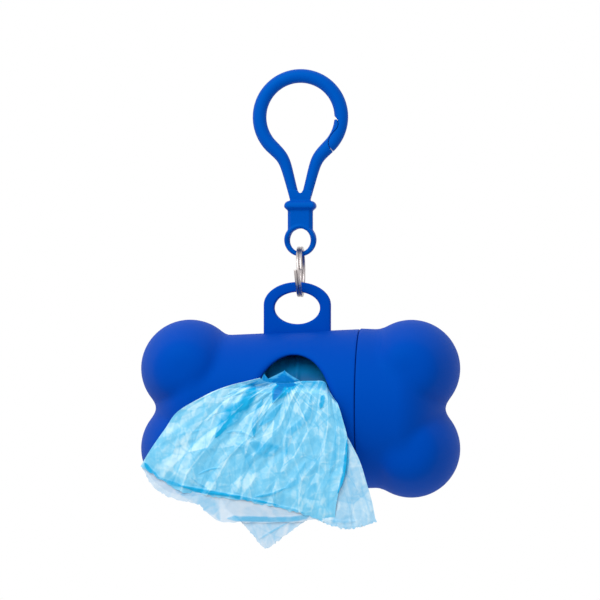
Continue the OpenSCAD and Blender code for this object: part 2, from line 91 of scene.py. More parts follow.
Color = tuple[float, float, float, float]
Line = Sequence[tuple[float, float]]


def srgb(red: float, green: float, blue: float) -> Color:
    """Turn an sRGB colour written from 0 to 255 into the linear colour that nodes take.

    Args:
        red: Red, from 0 to 255.
        green: Green, from 0 to 255.
        blue: Blue, from 0 to 255.

    Returns:
        The linear colour with an alpha of 1.
    """
    parts = []
    for value in (red, green, blue):
        part = value / 255.0
        parts.append(part / 12.92 if part <= 0.04045 else ((part + 0.055) / 1.055) ** 2.4)
    return (parts[0], parts[1], parts[2], 1.0)


def soft_min(a: np.ndarray, b: np.ndarray, k: float) -> np.ndarray:
    """Return the smaller of two distances, with a fillet of size k where they are nearly equal."""
    h = np.maximum(k - np.abs(a - b), 0.0) / k
    return np.minimum(a, b) - h * h * k / 4.0


def soft_max(a: np.ndarray, b: np.ndarray, k: float) -> np.ndarray:
    """Return the larger of two distances, with a round of size k where they are nearly equal."""
    return -soft_min(-a, -b, k)


def ease(t: np.ndarray | float) -> np.ndarray:
    """Return a smooth step from 0 to 1 as t goes from 0 to 1."""
    c = np.clip(t, 0.0, 1.0)
    return c * c * (3.0 - 2.0 * c)


def spline(points: Sequence[Sequence[float]], at: np.ndarray) -> np.ndarray:
    """Sample a smooth curve through some points, spaced evenly by number.

    Args:
        points: The points that the curve passes through.
        at: Places along the curve, from 0 at the first point to 1 at the last.

    Returns:
        One row of coordinates for each place.
    """
    pts = np.asarray(points, dtype=float)
    last = len(pts) - 1
    s = np.clip(np.asarray(at, dtype=float), 0.0, 1.0) * last
    i = np.minimum(np.floor(s).astype(int), last - 1)
    t = (s - i)[..., None]
    a, b = pts[np.maximum(i - 1, 0)], pts[i]
    c, d = pts[i + 1], pts[np.minimum(i + 2, last)]
    return b + 0.5 * t * ((c - a) + t * ((2 * a - 5 * b + 4 * c - d) + t * (3 * (b - c) + d - a)))


def circle(count: int) -> np.ndarray:
    """Return evenly spaced angles round one full turn, in radians."""
    return np.linspace(0.0, 2.0 * np.pi, count, endpoint=False)


def quarter(step: int) -> np.ndarray:
    """Return angles from 0 to a quarter turn, in radians, some whole degrees apart."""
    return np.radians(np.arange(0, 91, step))


def polar(r: np.ndarray | float, degrees: np.ndarray | float) -> np.ndarray:
    """Return X and Z at a radius and an angle about the origin."""
    a = np.radians(degrees)
    return np.stack([r * np.cos(a), r * np.sin(a)], axis=-1)


def squared(t: np.ndarray, power: float) -> np.ndarray:
    """Return a sine or cosine pushed out towards 1 or -1, which makes a round section squarer."""
    return np.sign(t) * np.abs(t) ** power


def heading(path: np.ndarray) -> np.ndarray:
    """Return the unit direction of a path at each of its points."""
    way = np.gradient(path, axis=0)
    return way / np.linalg.norm(way, axis=1)[:, None]


def plates(flat: np.ndarray, depths: Sequence[float]) -> np.ndarray:
    """Repeat a flat outline at several depths.

    Args:
        flat: The outline, as rows of X and Z.
        depths: Y of each repeat.

    Returns:
        One ring of points for each depth.
    """
    return np.array([np.stack([flat[:, 0], np.full(len(flat), y), flat[:, 1]], axis=1) for y in depths])


class MeshPlan:
    """Collects grids of points in millimetres and makes one welded, smooth object of them."""

    def __init__(self, name: str) -> None:
        """Start an empty plan for an object of this name.

        Args:
            name: The object's name.
        """
        self.name = name
        self.points: list[np.ndarray] = []
        self.faces: list[tuple[int, ...]] = []
        self.count = 0

    def _number(self, points: np.ndarray) -> int:
        """Take up points.

        Args:
            points: Coordinates in millimetres.

        Returns:
            The number of the first of them.
        """
        self.points.append(points.reshape(-1, 3))
        self.count += len(self.points[-1])
        return self.count - len(self.points[-1])

    def grid(
        self,
        points: np.ndarray,
        wrap_rows: bool = False,
        wrap_cols: bool = False,
        skip: Optional[np.ndarray] = None,
    ) -> None:
        """Add a grid of quads.

        Args:
            points: Rows x columns x 3 coordinates in millimetres.
            wrap_rows: True if the last row joins the first.
            wrap_cols: True if the last column joins the first.
            skip: Rows x columns of booleans, True where the quad that starts there is left out.
        """
        rows, cols = points.shape[:2]
        base = self._number(points)
        for r in range(rows if wrap_rows else rows - 1):
            for c in range(cols if wrap_cols else cols - 1):
                below, right = (r + 1) % rows, (c + 1) % cols
                if skip is None or not skip[r, c]:
                    corners = ((r, c), (r, right), (below, right), (below, c))
                    self.faces.append(tuple(base + i * cols + j for i, j in corners))

    def cap(self, ring: np.ndarray) -> None:
        """Close a ring of points with one face."""
        base = self._number(ring)
        self.faces.append(tuple(range(base, base + len(ring))))

    def build(self, weld: float = 0.002, smooth: bool = True, closed: bool = True) -> bpy.types.Object:
        """Make the object.

        Args:
            weld: Points nearer than this many millimetres become one.
            smooth: True for smooth shading.
            closed: True if the faces enclose a volume, so that their normals can be turned outward.

        Returns:
            The new object, linked to the scene.
        """
        mesh = bpy.data.meshes.new(self.name)
        mesh.from_pydata((np.concatenate(self.points) * MM).tolist(), [], self.faces)
        bm = bmesh.new()
        bm.from_mesh(mesh)
        bmesh.ops.remove_doubles(bm, verts=bm.verts, dist=weld * MM)
        if closed:
            bmesh.ops.recalc_face_normals(bm, faces=bm.faces)
        bm.to_mesh(mesh)
        bm.free()
        mesh.polygons.foreach_set("use_smooth", [smooth] * len(mesh.polygons))
        return show(self.name, mesh)


def show(name: str, data: bpy.types.ID) -> bpy.types.Object:
    """Show a mesh, a camera or a lamp.

    Args:
        name: The object's name.
        data: What it shows.

    Returns:
        The new object, linked to the scene.
    """
    obj = bpy.data.objects.new(name, data)
    bpy.context.scene.collection.objects.link(obj)
    return obj


def solid(name: str, rings: np.ndarray, smooth: bool = True) -> bpy.types.Object:
    """Make a closed solid through rings of points, with both ends capped.

    Args:
        name: Its name.
        rings: Rings x points x 3 coordinates in millimetres.
        smooth: True for smooth shading.

    Returns:
        The solid.
    """
    plan = MeshPlan(name)
    plan.grid(rings, wrap_cols=True)
    plan.cap(rings[0])
    plan.cap(rings[-1])
    return plan.build(smooth=smooth)


def tube(path: np.ndarray, half: np.ndarray, sides: int = 24) -> np.ndarray:
    """Sweep a round section along a flat path in the XZ plane.

    Args:
        path: Points along the path, as rows of X and Z in millimetres.
        half: The section's radius at each point.
        sides: Points round the section.

    Returns:
        A grid of points, one row for each point of the path.
    """
    way, turn = heading(path), circle(sides)
    across = np.stack([way[:, 1], np.zeros(len(path)), -way[:, 0]], axis=1)
    side = np.cos(turn)[None, :, None] * across[:, None, :]
    front = np.sin(turn)[None, :, None] * np.array([0.0, 1.0, 0.0])
    return plates(path, [0.0])[0][:, None, :] + half[:, None, None] * (side + front)


def apply_modifiers(obj: bpy.types.Object) -> None:
    """Replace an object's mesh by what its modifiers make of it, and drop them.

    Args:
        obj: The object.
    """
    graph = bpy.context.evaluated_depsgraph_get()
    graph.update()
    made = bpy.data.meshes.new_from_object(obj.evaluated_get(graph))
    obj.modifiers.clear()
    obj.data = made


def cut(obj: bpy.types.Object, cutter: bpy.types.Object, operation: str) -> None:
    """Cut an object with another one.

    Args:
        obj: What is cut.
        cutter: What it is cut with, which is used up.
        operation: The kind of cut, as the Boolean modifier names it.
    """
    step = obj.modifiers.new("cut", "BOOLEAN")
    step.operation, step.solver, step.object = operation, "EXACT", cutter
    apply_modifiers(obj)
    bpy.data.objects.remove(cutter, do_unlink=True)


def join(objects: Sequence[bpy.types.Object], name: str) -> bpy.types.Object:
    """Put the meshes of several objects into one object.

    Args:
        objects: The objects, which are used up.
        name: The name of the one that is left.

    Returns:
        The joined object.
    """
    bm = bmesh.new()
    for obj in objects:
        bm.from_mesh(obj.data)
    mesh = bpy.data.meshes.new(name)
    bm.to_mesh(mesh)
    bm.free()
    for obj in objects:
        bpy.data.objects.remove(obj, do_unlink=True)
    return show(name, mesh)


def melt(obj: bpy.types.Object, voxel: float, rounds: int) -> None:
    """Run overlapping closed solids together as one moulding with soft inner corners.

    Args:
        obj: The object that holds the solids.
        voxel: Size of the remesh's cells, in millimetres.
        rounds: How many times the surface is smoothed.
    """
    remesh = obj.modifiers.new("melt", "REMESH")
    remesh.mode, remesh.voxel_size = "VOXEL", voxel * MM
    apply_modifiers(obj)
    soften = obj.modifiers.new("soften", "SMOOTH")
    soften.factor, soften.iterations = 0.5, rounds
    apply_modifiers(obj)
    obj.data.polygons.foreach_set("use_smooth", [True] * len(obj.data.polygons))


# ---------------------------------------------------------------------------------------------- finishes


class NodeSheet:
    """A node tree with short calls to add and join its nodes."""

    def __init__(self, tree: bpy.types.NodeTree) -> None:
        """Wrap a node tree."""
        self.tree = tree

    def fill(self, node: bpy.types.Node, inputs: dict) -> None:
        """Set a node's inputs.

        Args:
            node: The node.
            inputs: Values, or the sockets that feed them, by name or number.
        """
        for key, value in inputs.items():
            if isinstance(value, bpy.types.NodeSocket):
                self.tree.links.new(value, node.inputs[key])
            else:
                node.inputs[key].default_value = value

    def add(self, kind: str, inputs: Optional[dict] = None, **settings: object) -> bpy.types.Node:
        """Add a node.

        Args:
            kind: The node's type name.
            inputs: Values or sockets for its inputs, by name or number.
            settings: Properties of the node.

        Returns:
            The new node.
        """
        node = self.tree.nodes.new(kind)
        for key, value in settings.items():
            setattr(node, key, value)
        self.fill(node, inputs or {})
        return node

    def math(self, operation: str, a: object, b: object = 0.0, clamp: bool = False) -> bpy.types.NodeSocket:
        """Add a Math node and return its output."""
        return self.add("ShaderNodeMath", {0: a, 1: b}, operation=operation, use_clamp=clamp).outputs[0]

    def vector(self, operation: str, a: object, b: object) -> bpy.types.Node:
        """Add a Vector Math node."""
        return self.add("ShaderNodeVectorMath", {0: a, 1: b}, operation=operation)

    def mix(self, factor: object, a: object, b: object) -> bpy.types.NodeSocket:
        """Mix two colours and return the result."""
        return self.add("ShaderNodeMix", {0: factor, 6: a, 7: b}, data_type="RGBA").outputs[2]

    def ramp(self, value: object, low: float, high: float, start: float, end: float) -> bpy.types.NodeSocket:
        """Turn values from low to high into values from start to end, and return them."""
        inputs = {0: value, 1: low, 2: high, 3: start, 4: end}
        return self.add("ShaderNodeMapRange", inputs, clamp=True).outputs[0]

    def attribute(self, name: str) -> bpy.types.NodeSocket:
        """Return what a mesh says for each point under this name."""
        return self.add("ShaderNodeAttribute", attribute_name=name).outputs["Fac"]

    def noise(self, place: object, scale: object, detail: float) -> bpy.types.NodeSocket:
        """Return cloudy noise."""
        return self.add("ShaderNodeTexNoise", {"Vector": place, "Scale": scale, "Detail": detail}).outputs[0]


def new_group(
    name: str, inputs: dict[str, object], outputs: Sequence[str]
) -> tuple[NodeSheet, dict[str, bpy.types.NodeSocket], bpy.types.Node]:
    """Make a shader node group with named sockets.

    Args:
        name: The group's name.
        inputs: Default value of each input; a tuple makes a colour.
        outputs: Name of each output. "Color" is a colour, and the others are numbers.

    Returns:
        The group's sheet, its input sockets by name, and its output node.
    """
    tree = bpy.data.node_groups.new(name, "ShaderNodeTree")
    for key, value in inputs.items():
        kind = "NodeSocketColor" if isinstance(value, tuple) else "NodeSocketFloat"
        tree.interface.new_socket(name=key, in_out="INPUT", socket_type=kind).default_value = value
    for key in outputs:
        kind = "NodeSocketColor" if key == "Color" else "NodeSocketFloat"
        tree.interface.new_socket(name=key, in_out="OUTPUT", socket_type=kind)
    sheet = NodeSheet(tree)
    entry = sheet.add("NodeGroupInput")
    return sheet, {key: entry.outputs[key] for key in inputs}, sheet.add("NodeGroupOutput")


def new_material(name: str) -> tuple[bpy.types.Material, NodeSheet, bpy.types.Node]:
    """Make a material.

    Args:
        name: Its name.

    Returns:
        The material, the sheet of its nodes, and its shader.
    """
    material = bpy.data.materials.new(name)
    material.use_nodes = True
    return material, NodeSheet(material.node_tree), material.node_tree.nodes["Principled BSDF"]


class Effects:
    """The shader node groups that the finishes share, each built once."""

    def __init__(self) -> None:
        """Build both groups."""
        self.grain = self._grain()
        self.creases = self._creases()

    @staticmethod
    def _grain() -> bpy.types.NodeTree:
        """Build the fine grain and faint mottle of moulded or rolled stuff.

        Returns:
            The node group.
        """
        inputs = {"Color": (0.5, 0.5, 0.5, 1.0), "Dark": (0.4, 0.4, 0.4, 1.0), "Mottle Scale": 60.0,
                  "Mottle": 0.3, "Grain Scale": 2500.0, "Roughness": 0.5, "Roughness Spread": 0.1}
        sheet, ins, out = new_group("FineGrain", inputs, ("Color", "Roughness", "Height"))
        place = sheet.add("ShaderNodeTexCoord").outputs["Object"]
        blotch = sheet.noise(place, ins["Mottle Scale"], 3.0)
        grain = sheet.noise(place, ins["Grain Scale"], 2.0)
        amount = sheet.math("MULTIPLY", blotch, ins["Mottle"], clamp=True)
        spread = sheet.math("MULTIPLY", sheet.math("SUBTRACT", grain, 0.5), ins["Roughness Spread"])
        sheet.fill(out, {
            "Color": sheet.mix(amount, ins["Color"], ins["Dark"]),
            "Roughness": sheet.math("ADD", ins["Roughness"], spread, clamp=True),
            "Height": grain,
        })
        return sheet.tree

    @staticmethod
    def _facets(sheet: NodeSheet, vector: object, size: object) -> bpy.types.NodeSocket:
        """Return the squared distance to the nearest of some sites."""
        cell = sheet.add("ShaderNodeTexVoronoi", {"Vector": vector, "Scale": size}, feature="F1")
        return sheet.math("POWER", cell.outputs["Distance"], 2.0)

    def _creases(self) -> bpy.types.NodeTree:
        """Build the look of crumpled film.

        The difference of two squared distances makes flat facets. The mesh carries painted light and shade
        for each point, and how many layers the film lies in ("layers"). Painted light mixes the film towards
        Light and painted shade towards Deep. Thin creases run between larger cells, in patches.

        Returns:
            The node group.
        """
        inputs = {"Light": (0.6, 0.9, 1.0, 1.0), "Mid": (0.3, 0.8, 0.95, 1.0), "Deep": (0.0, 0.5, 0.8, 1.0),
                  "Deepest": (0.0, 0.24, 0.6, 1.0), "Facet Scale": 600.0, "Facets": 0.25, "Contrast": 1.0,
                  "Crease": 0.4}
        sheet, ins, out = new_group("FilmCreasesAndPaintedLight", inputs, ("Color", "Height"))
        place = sheet.add("ShaderNodeTexCoord").outputs["Object"]
        squeeze = sheet.vector("MULTIPLY", place, (1.0, 1.0, 0.62)).outputs[0]
        moved = sheet.vector("ADD", squeeze, (0.31, 0.17, 0.23)).outputs[0]
        small, mid, large = (sheet.math("MULTIPLY", ins["Facet Scale"], share) for share in (1.0, 0.83, 0.4))
        flat = sheet.math("SUBTRACT", self._facets(sheet, squeeze, small), self._facets(sheet, moved, mid))
        cells = {"Vector": moved, "Scale": large}
        edge = sheet.add("ShaderNodeTexVoronoi", cells, feature="DISTANCE_TO_EDGE").outputs["Distance"]
        line = sheet.ramp(edge, 0.0, 0.06, 1.0, 0.0)
        some = sheet.ramp(sheet.noise(place, 140.0, 3.0), 0.48, 0.62, 0.0, 1.0)
        tone, layers = sheet.attribute("tone"), sheet.attribute("layers")
        # Painted light and shade: the mesh's painted light and the random facets give how lit the film looks;
        # lit film goes towards Light, shaded film towards Deep.
        lit = sheet.math("MULTIPLY", flat, ins["Facets"])
        lit = sheet.math("ADD", sheet.math("SUBTRACT", tone, 0.5), lit)
        lit = sheet.math("MULTIPLY", lit, ins["Contrast"])
        bright = sheet.math("MULTIPLY", lit, 2.0, clamp=True)
        painted_shade = sheet.math("MULTIPLY", lit, -1.1, clamp=True)
        thin = sheet.math("MULTIPLY", sheet.math("MULTIPLY", line, some), ins["Crease"], clamp=True)
        # Layered film looks deeper, less so where the painted light is high.
        patchy = sheet.math("MULTIPLY", sheet.math("ADD", tone, sheet.math("MULTIPLY", flat, 0.3)), -0.8)
        patchy = sheet.math("ADD", patchy, sheet.math("MULTIPLY", layers, 1.5))
        layered_and_shaded = sheet.math("MULTIPLY", patchy, sheet.math("GREATER_THAN", layers, 0.02), clamp=True)
        deep = sheet.math("MAXIMUM", sheet.math("MAXIMUM", layered_and_shaded, thin), painted_shade)
        color = sheet.mix(deep, sheet.mix(bright, ins["Mid"], ins["Light"]), ins["Deep"])
        sheet.fill(out, {
            "Color": sheet.mix(sheet.math("SUBTRACT", layers, 1.0, clamp=True), color, ins["Deepest"]),
            "Height": sheet.math("SUBTRACT", flat, sheet.math("MULTIPLY", thin, 0.3)),
        })
        return sheet.tree


@dataclass(frozen=True)
class Plastic:
    """Moulded or rolled stuff with a fine grain."""

    name: str
    color: Color
    dark: Color
    roughness: float = 0.5
    specular: float = 0.12
    mottle: float = 0.3
    mottle_scale: float = 60.0
    grain_scale: float = 2500.0
    bump: float = 0.05
    metallic: float = 0.0
    sheen: Color = (1.0, 1.0, 1.0, 1.0)
    spread: float = 0.12
    grain_depth: float = 0.0002

    def make(self, effects: Effects) -> bpy.types.Material:
        """Build the material.

        Args:
            effects: The shared node groups.

        Returns:
            The material.
        """
        material, sheet, shader = new_material(self.name)
        values = {"Color": self.color, "Dark": self.dark, "Mottle Scale": self.mottle_scale,
                  "Mottle": self.mottle, "Grain Scale": self.grain_scale, "Roughness": self.roughness,
                  "Roughness Spread": self.spread}
        grain = sheet.add("ShaderNodeGroup", values, node_tree=effects.grain).outputs
        relief = {"Height": grain["Height"], "Strength": self.bump, "Distance": self.grain_depth}
        sheet.fill(shader, {
            "Base Color": grain["Color"],
            "Roughness": grain["Roughness"],
            "Normal": sheet.add("ShaderNodeBump", relief).outputs[0],
            "Specular IOR Level": self.specular,
            "Specular Tint": self.sheen,
            "Metallic": self.metallic,
        })
        return material


@dataclass(frozen=True)
class Film:
    """Thin crumpled plastic film, in four colours from the best lit to the most layered."""

    name: str
    light: Color
    mid: Color
    deep: Color
    deepest: Color = srgb(0, 128, 204)
    alpha: float = 1.0
    contrast: float = 1.0
    crease: float = 0.4
    facet_scale: float = 600.0
    facets: float = 0.25
    bump: float = 0.15
    roughness: float = 0.4
    specular: float = 0.25
    crease_depth: float = 0.0006

    def make(self, effects: Effects) -> bpy.types.Material:
        """Build the material.

        Args:
            effects: The shared node groups.

        Returns:
            The material.
        """
        material, sheet, shader = new_material(self.name)
        values = {"Light": self.light, "Mid": self.mid, "Deep": self.deep, "Deepest": self.deepest,
                  "Facet Scale": self.facet_scale, "Facets": self.facets, "Contrast": self.contrast,
                  "Crease": self.crease}
        film = sheet.add("ShaderNodeGroup", values, node_tree=effects.creases).outputs
        relief = {"Height": film["Height"], "Strength": self.bump, "Distance": self.crease_depth}
        sheet.fill(shader, {
            "Base Color": film["Color"],
            "Normal": sheet.add("ShaderNodeBump", relief).outputs[0],
            "Roughness": self.roughness,
            "Specular IOR Level": self.specular,
            "Alpha": self.alpha,
        })
        return material


class Finishes:
    """Every material of the dispenser."""

    def __init__(self) -> None:
        """Make the shared groups and all the materials."""
        effects = Effects()
        sheen = (0.0, 1.0, 0.6, 1.0)
        self.case = Plastic(
            "case_plastic", (0.0, 0.062, 0.462, 1.0), (0.0, 0.056, 0.444, 1.0),
            roughness=0.6, specular=0.1, sheen=sheen,
        ).make(effects)
        self.clip = Plastic(
            "clip_plastic", (0.0, 0.080, 0.480, 1.0), (0.0, 0.071, 0.462, 1.0),
            roughness=0.5, specular=0.15, sheen=sheen,
        ).make(effects)
        self.ring = Plastic(
            "ring_steel", srgb(205, 198, 196), srgb(150, 142, 142), roughness=0.32, specular=0.5, mottle=0.8,
            mottle_scale=900.0, grain_scale=6000.0, bump=0.1, metallic=1.0,
        ).make(effects)
        self.core = Plastic(
            "core_board", srgb(176, 148, 112), srgb(140, 112, 80), roughness=0.9, specular=0.2, mottle=0.9,
            mottle_scale=700.0, grain_scale=3000.0, bump=0.4,
        ).make(effects)
        self.roll = Plastic(
            "rolled_film", srgb(4, 124, 176), srgb(2, 110, 164), roughness=0.45, specular=0.3, mottle=0.5,
            mottle_scale=260.0, grain_scale=1500.0, bump=0.2,
        ).make(effects)
        self.film = Film(
            "bag_film", srgb(202, 241, 255), srgb(130, 211, 246), srgb(0, 174, 230),
        ).make(effects)
        self.film_side = Film(
            "bag_film_side", srgb(216, 240, 252), srgb(176, 220, 246), srgb(60, 184, 236),
        ).make(effects)
        self.film_rear = Film(
            "bag_film_rear", srgb(220, 234, 245), srgb(204, 226, 244), srgb(108, 194, 236),
            alpha=0.9, contrast=0.6, crease=0.1, bump=0.1,
        ).make(effects)
        # bag_film_throat: darker than bag_film, as painted shade, because this film lies back inside the
        # opening.
        self.film_throat = Film(
            "bag_film_throat", srgb(84, 182, 232), srgb(0, 146, 216), srgb(0, 124, 202),
            crease=0.1, specular=0.05,
        ).make(effects)
        # bag_film_web: its Light colour is painted light, used towards the top of the web.
        self.film_web = Film(
            "bag_film_web", srgb(10, 160, 220), srgb(2, 96, 152), srgb(0, 80, 136),
            crease=0.0, facets=0.03, bump=0.05,
        ).make(effects)


def dress(obj: bpy.types.Object, material: bpy.types.Material) -> None:
    """Give an object its finish.

    Args:
        obj: The object.
        material: Its only material.
    """
    obj.data.materials.clear()
    obj.data.materials.append(material)


# ---------------------------------------------------------------------------------------------- the case


@dataclass(frozen=True)
class BoneForm:
    """The blended outer form of the case, about the barrel's axis."""

    length: float = 84.8
    barrel_r: float = 21.0
    cap_step: float = 0.2
    joint_x: float = 15.8
    draft: float = 0.0445
    inset: float = 4.5
    dome: float = 11.4
    knob_r: float = 12.9
    knob_rise: float = 10.6
    knob_half: float = 18.5
    flat_r: float = 5.5
    edge: float = 3.0
    fillet: float = 1.2
    waist: float = 4.2
    fan_back: float = 7.3
    nearest: float = 4.0
    farthest: float = 46.0
    halvings: int = 26

    @property
    def end_x(self) -> float:
        """Return how far the barrel reaches from the middle."""
        return self.length / 2 - self.inset

    @property
    def dome_x(self) -> float:
        """Return where the barrel's end starts to close."""
        return self.end_x - self.dome

    @property
    def knob_x(self) -> float:
        """Return the knobs' distance from the middle."""
        return self.length / 2 - self.knob_r

    @property
    def fan_x(self) -> float:
        """Return where the rings across the barrel give way to rays that fan out."""
        return self.knob_x - self.fan_back

    def skin_r(self, x: np.ndarray) -> np.ndarray:
        """Work out the barrel's radius.

        Args:
            x: Places along the barrel.

        Returns:
            The radius at each place.
        """
        body = self.barrel_r - self.draft * (self.joint_x - x)
        cap = self.barrel_r + self.cap_step - self.draft * (x - self.joint_x)
        return np.where(x <= self.joint_x + 0.01, body, cap)

    def gap(self, p: np.ndarray) -> np.ndarray:
        """Measure how far points lie from the skin.

        Args:
            p: Coordinates of the points.

        Returns:
            The signed distances, negative inside.
        """
        x, y, z = p[..., 0], p[..., 1], p[..., 2]
        r = self.skin_r(x)
        stretch = np.maximum(np.abs(x) - self.dome_x, 0.0) * r / self.dome
        barrel = np.sqrt(stretch**2 + y**2 + z**2) - r
        wide = self.knob_r - self.flat_r
        arc = (wide**2 + self.knob_half**2) / (2.0 * wide)
        knobs = []
        for up in (1.0, -1.0):
            away = np.hypot(np.abs(x) - self.knob_x, z - up * self.knob_rise)
            side = np.hypot(away + arc - self.knob_r, y) - arc
            knobs.append(soft_max(side, np.abs(y) - self.knob_half, self.edge))
        return soft_min(barrel, soft_min(knobs[0], knobs[1], self.waist), self.fillet)

    def reach(self, start: np.ndarray, way: np.ndarray) -> np.ndarray:
        """Find the skin from inside, by halving.

        Args:
            start: Points inside.
            way: The unit way to go from each.

        Returns:
            The distance to the skin along each way.
        """
        low = np.full(way.shape[:-1], self.nearest)
        high = np.full(way.shape[:-1], self.farthest)
        for _ in range(self.halvings):
            mid = (low + high) / 2.0
            inside = self.gap(start + mid[..., None] * way) < 0.0
            low, high = np.where(inside, mid, low), np.where(inside, high, mid)
        return (low + high) / 2.0


@dataclass(frozen=True)
class Window:
    """The oval opening in the barrel, with its rounded rim, and the gap left for it in the grids."""

    x: float = -0.4
    half_w: float = 10.4
    half_h: float = 14.4
    rim: float = 1.9
    rim_drop: float = 1.5
    x_from: float = -13.6
    x_to: float = 12.8
    rows: int = 25
    turns: int = 34

    def place(self, angle: np.ndarray, grow: float) -> tuple[np.ndarray, np.ndarray]:
        """Return X and Z on an oval round the opening, `grow` outside its edge."""
        return self.x + (self.half_w + grow) * np.cos(angle), (self.half_h + grow) * np.sin(angle)

    def angle(self, points: np.ndarray) -> np.ndarray:
        """Return where points lie round the oval."""
        return np.arctan2(points[:, 2] / self.half_h, (points[:, 0] - self.x) / self.half_w)


@dataclass
class Case:
    """The bone-shaped case: the body with its opening, neck and tab, and the push-on cap.

    Lengths with `at` in their names are taken back from the neck's mouth.
    """

    form: BoneForm = field(default_factory=BoneForm)
    window: Window = field(default_factory=Window)
    columns: int = 192
    lip: float = 0.4
    lip_land: float = 1.2
    body_land: tuple[float, ...] = (14.6, 13.7)
    joint_gap: float = 0.15
    cavity_r: float = 17.7
    cavity_draft: float = 0.01746
    bore_near: float = 18.0
    bore_far: tuple[float, ...] = (-18.0, -22.0)
    cap_bore_r: float = 17.65
    wall: float = 1.8
    chamfer: float = 0.3
    neck_len: float = 8.0
    neck_wall: float = 1.5
    neck_chamfer: float = 0.4
    neck_room: float = 0.25
    socket_r: float = 19.45
    bead: float = 0.17
    bead_at: tuple[float, ...] = (3.0, 2.7, 2.3, 2.0)
    tab_x: float = -0.8
    tab_half: float = 8.9
    tab_t: float = 3.0
    tab_reach: float = 26.6
    tab_foot: float = 18.4
    tab_hole: tuple[float, float] = (6.1, 4.25)
    tab_bar: float = 2.65
    tab_crown: float = 6.1
    tab_soft: float = 0.55

    def __post_init__(self) -> None:
        """Work out the directions round the barrel, starting at the front."""
        turn = np.arange(self.columns) * 2.0 * np.pi / self.columns
        self.round = np.stack([np.zeros_like(turn), -np.cos(turn), np.sin(turn)], axis=1)

    def _rings(self, stations: np.ndarray, cuts: np.ndarray) -> np.ndarray:
        """Lay rings of skin points across the barrel.

        Args:
            stations: X of each ring.
            cuts: How far each ring is drawn in.

        Returns:
            Rings x columns x 3 coordinates.
        """
        start = np.zeros((len(stations), self.columns, 3))
        start[..., 0] = stations[:, None]
        way = np.broadcast_to(self.round, start.shape)
        return start + (self.form.reach(start, way) - cuts[:, None])[..., None] * way

    def _fan(self, side: float, count: int = 58) -> np.ndarray:
        """Lay rings of skin points on rays that fan out to a closed end.

        Args:
            side: 1 for the cap's end and -1 for the body's.
            count: How many rings.

        Returns:
            Rings x columns x 3 coordinates.
        """
        turn = np.radians(90.0 * (1.0 - np.arange(1, count + 1) / count))
        way = np.sin(turn)[:, None, None] * self.round[None]
        way[..., 0] = side * np.cos(turn)[:, None]
        start = np.zeros_like(way)
        start[..., 0] = side * self.form.fan_x
        return start + self.form.reach(start, way)[..., None] * way

    def _skin(
        self, plan: MeshPlan, start: float, side: float, land: np.ndarray
    ) -> tuple[np.ndarray, np.ndarray]:
        """Add the outer skin of one half, from its rounded lip at the joint to its closed end.

        Args:
            plan: What the skin is added to.
            start: X of the lip.
            side: 1 for the cap and -1 for the body, which has the window.
            land: X of the rings between the lip and the end.

        Returns:
            X of the rings, and the rings.
        """
        bend = quarter(15)
        stations = np.concatenate([start + side * self.lip * (1 - np.cos(bend)), land])
        cuts = np.concatenate([self.lip * (1 - np.sin(bend)), np.zeros(len(land))])
        rings = self._rings(stations, cuts)
        plan.grid(rings, wrap_cols=True, skip=self._skip(stations) if side < 0 else None)
        plan.grid(np.concatenate([rings[-1:], self._fan(side)]), wrap_cols=True)
        return stations, rings

    def _revolve(self, profile: Line) -> np.ndarray:
        """Turn a profile about the barrel's axis.

        Args:
            profile: Places of X and radius.

        Returns:
            One ring for each place.
        """
        prof = np.asarray(profile, dtype=float)
        rings = np.zeros((len(prof), self.columns, 3))
        rings[..., 0] = prof[:, 0, None]
        return rings + prof[:, 1, None, None] * self.round[None]

    def _bore(self, x: np.ndarray) -> np.ndarray:
        """Return the body cavity's radius at x."""
        return self.cavity_r - self.cavity_draft * (self.form.joint_x + self.neck_len - x)

    def _floor(self, side: float, radius: float) -> list[tuple[float, float]]:
        """Return the profile of a cavity's domed end."""
        deep = self.form.dome - self.wall
        return [(side * (self.form.dome_x + deep * math.sin(a)), radius * math.cos(a)) for a in quarter(10)]

    def _hole_border(self, stations: np.ndarray) -> list[tuple[int, int]]:
        """Walk round the space left for the window.

        Args:
            stations: X of each ring.

        Returns:
            The row and column of each grid point on the way.
        """
        first = int(np.argmin(np.abs(stations - self.window.x_to)))
        last = int(np.argmin(np.abs(stations - self.window.x_from)))
        n = self.window.turns
        top = [(r, n) for r in range(first, last)]
        left = [(last, c) for c in range(n, -n, -1)]
        low = [(r, -n) for r in range(last, first, -1)]
        right = [(first, c) for c in range(-n, n)]
        return top + left + low + right

    def _skip(self, stations: np.ndarray) -> np.ndarray:
        """Leave out the quads where the window is.

        Args:
            stations: X of each ring.

        Returns:
            True for each quad that is left out.
        """
        skip = np.zeros((len(stations), self.columns), dtype=bool)
        rows = [r for r, _ in self._hole_border(stations)]
        for c in range(-self.window.turns, self.window.turns):
            skip[min(rows):max(rows), c] = True
        return skip

    def _window_rings(
        self, border: np.ndarray, radius: Callable[[np.ndarray], np.ndarray], grow: float
    ) -> np.ndarray:
        """Lead from the gap in a grid to an oval on the same surface.

        Args:
            border: Points round the gap.
            radius: Radius of the surface at each X.
            grow: How far the oval lies outside the window's edge.

        Returns:
            Rings of points from the gap to the oval.
        """
        x, z = self.window.place(self.window.angle(border), grow)
        even = np.linspace(0.0, 1.0, 9)[:, None]
        t = ease(even) * 0.5 + even * 0.5
        xs, zs = border[None, :, 0] * (1 - t) + x * t, border[None, :, 2] * (1 - t) + z * t
        return np.stack([xs, -np.sqrt(radius(xs) ** 2 - zs**2), zs], axis=-1)

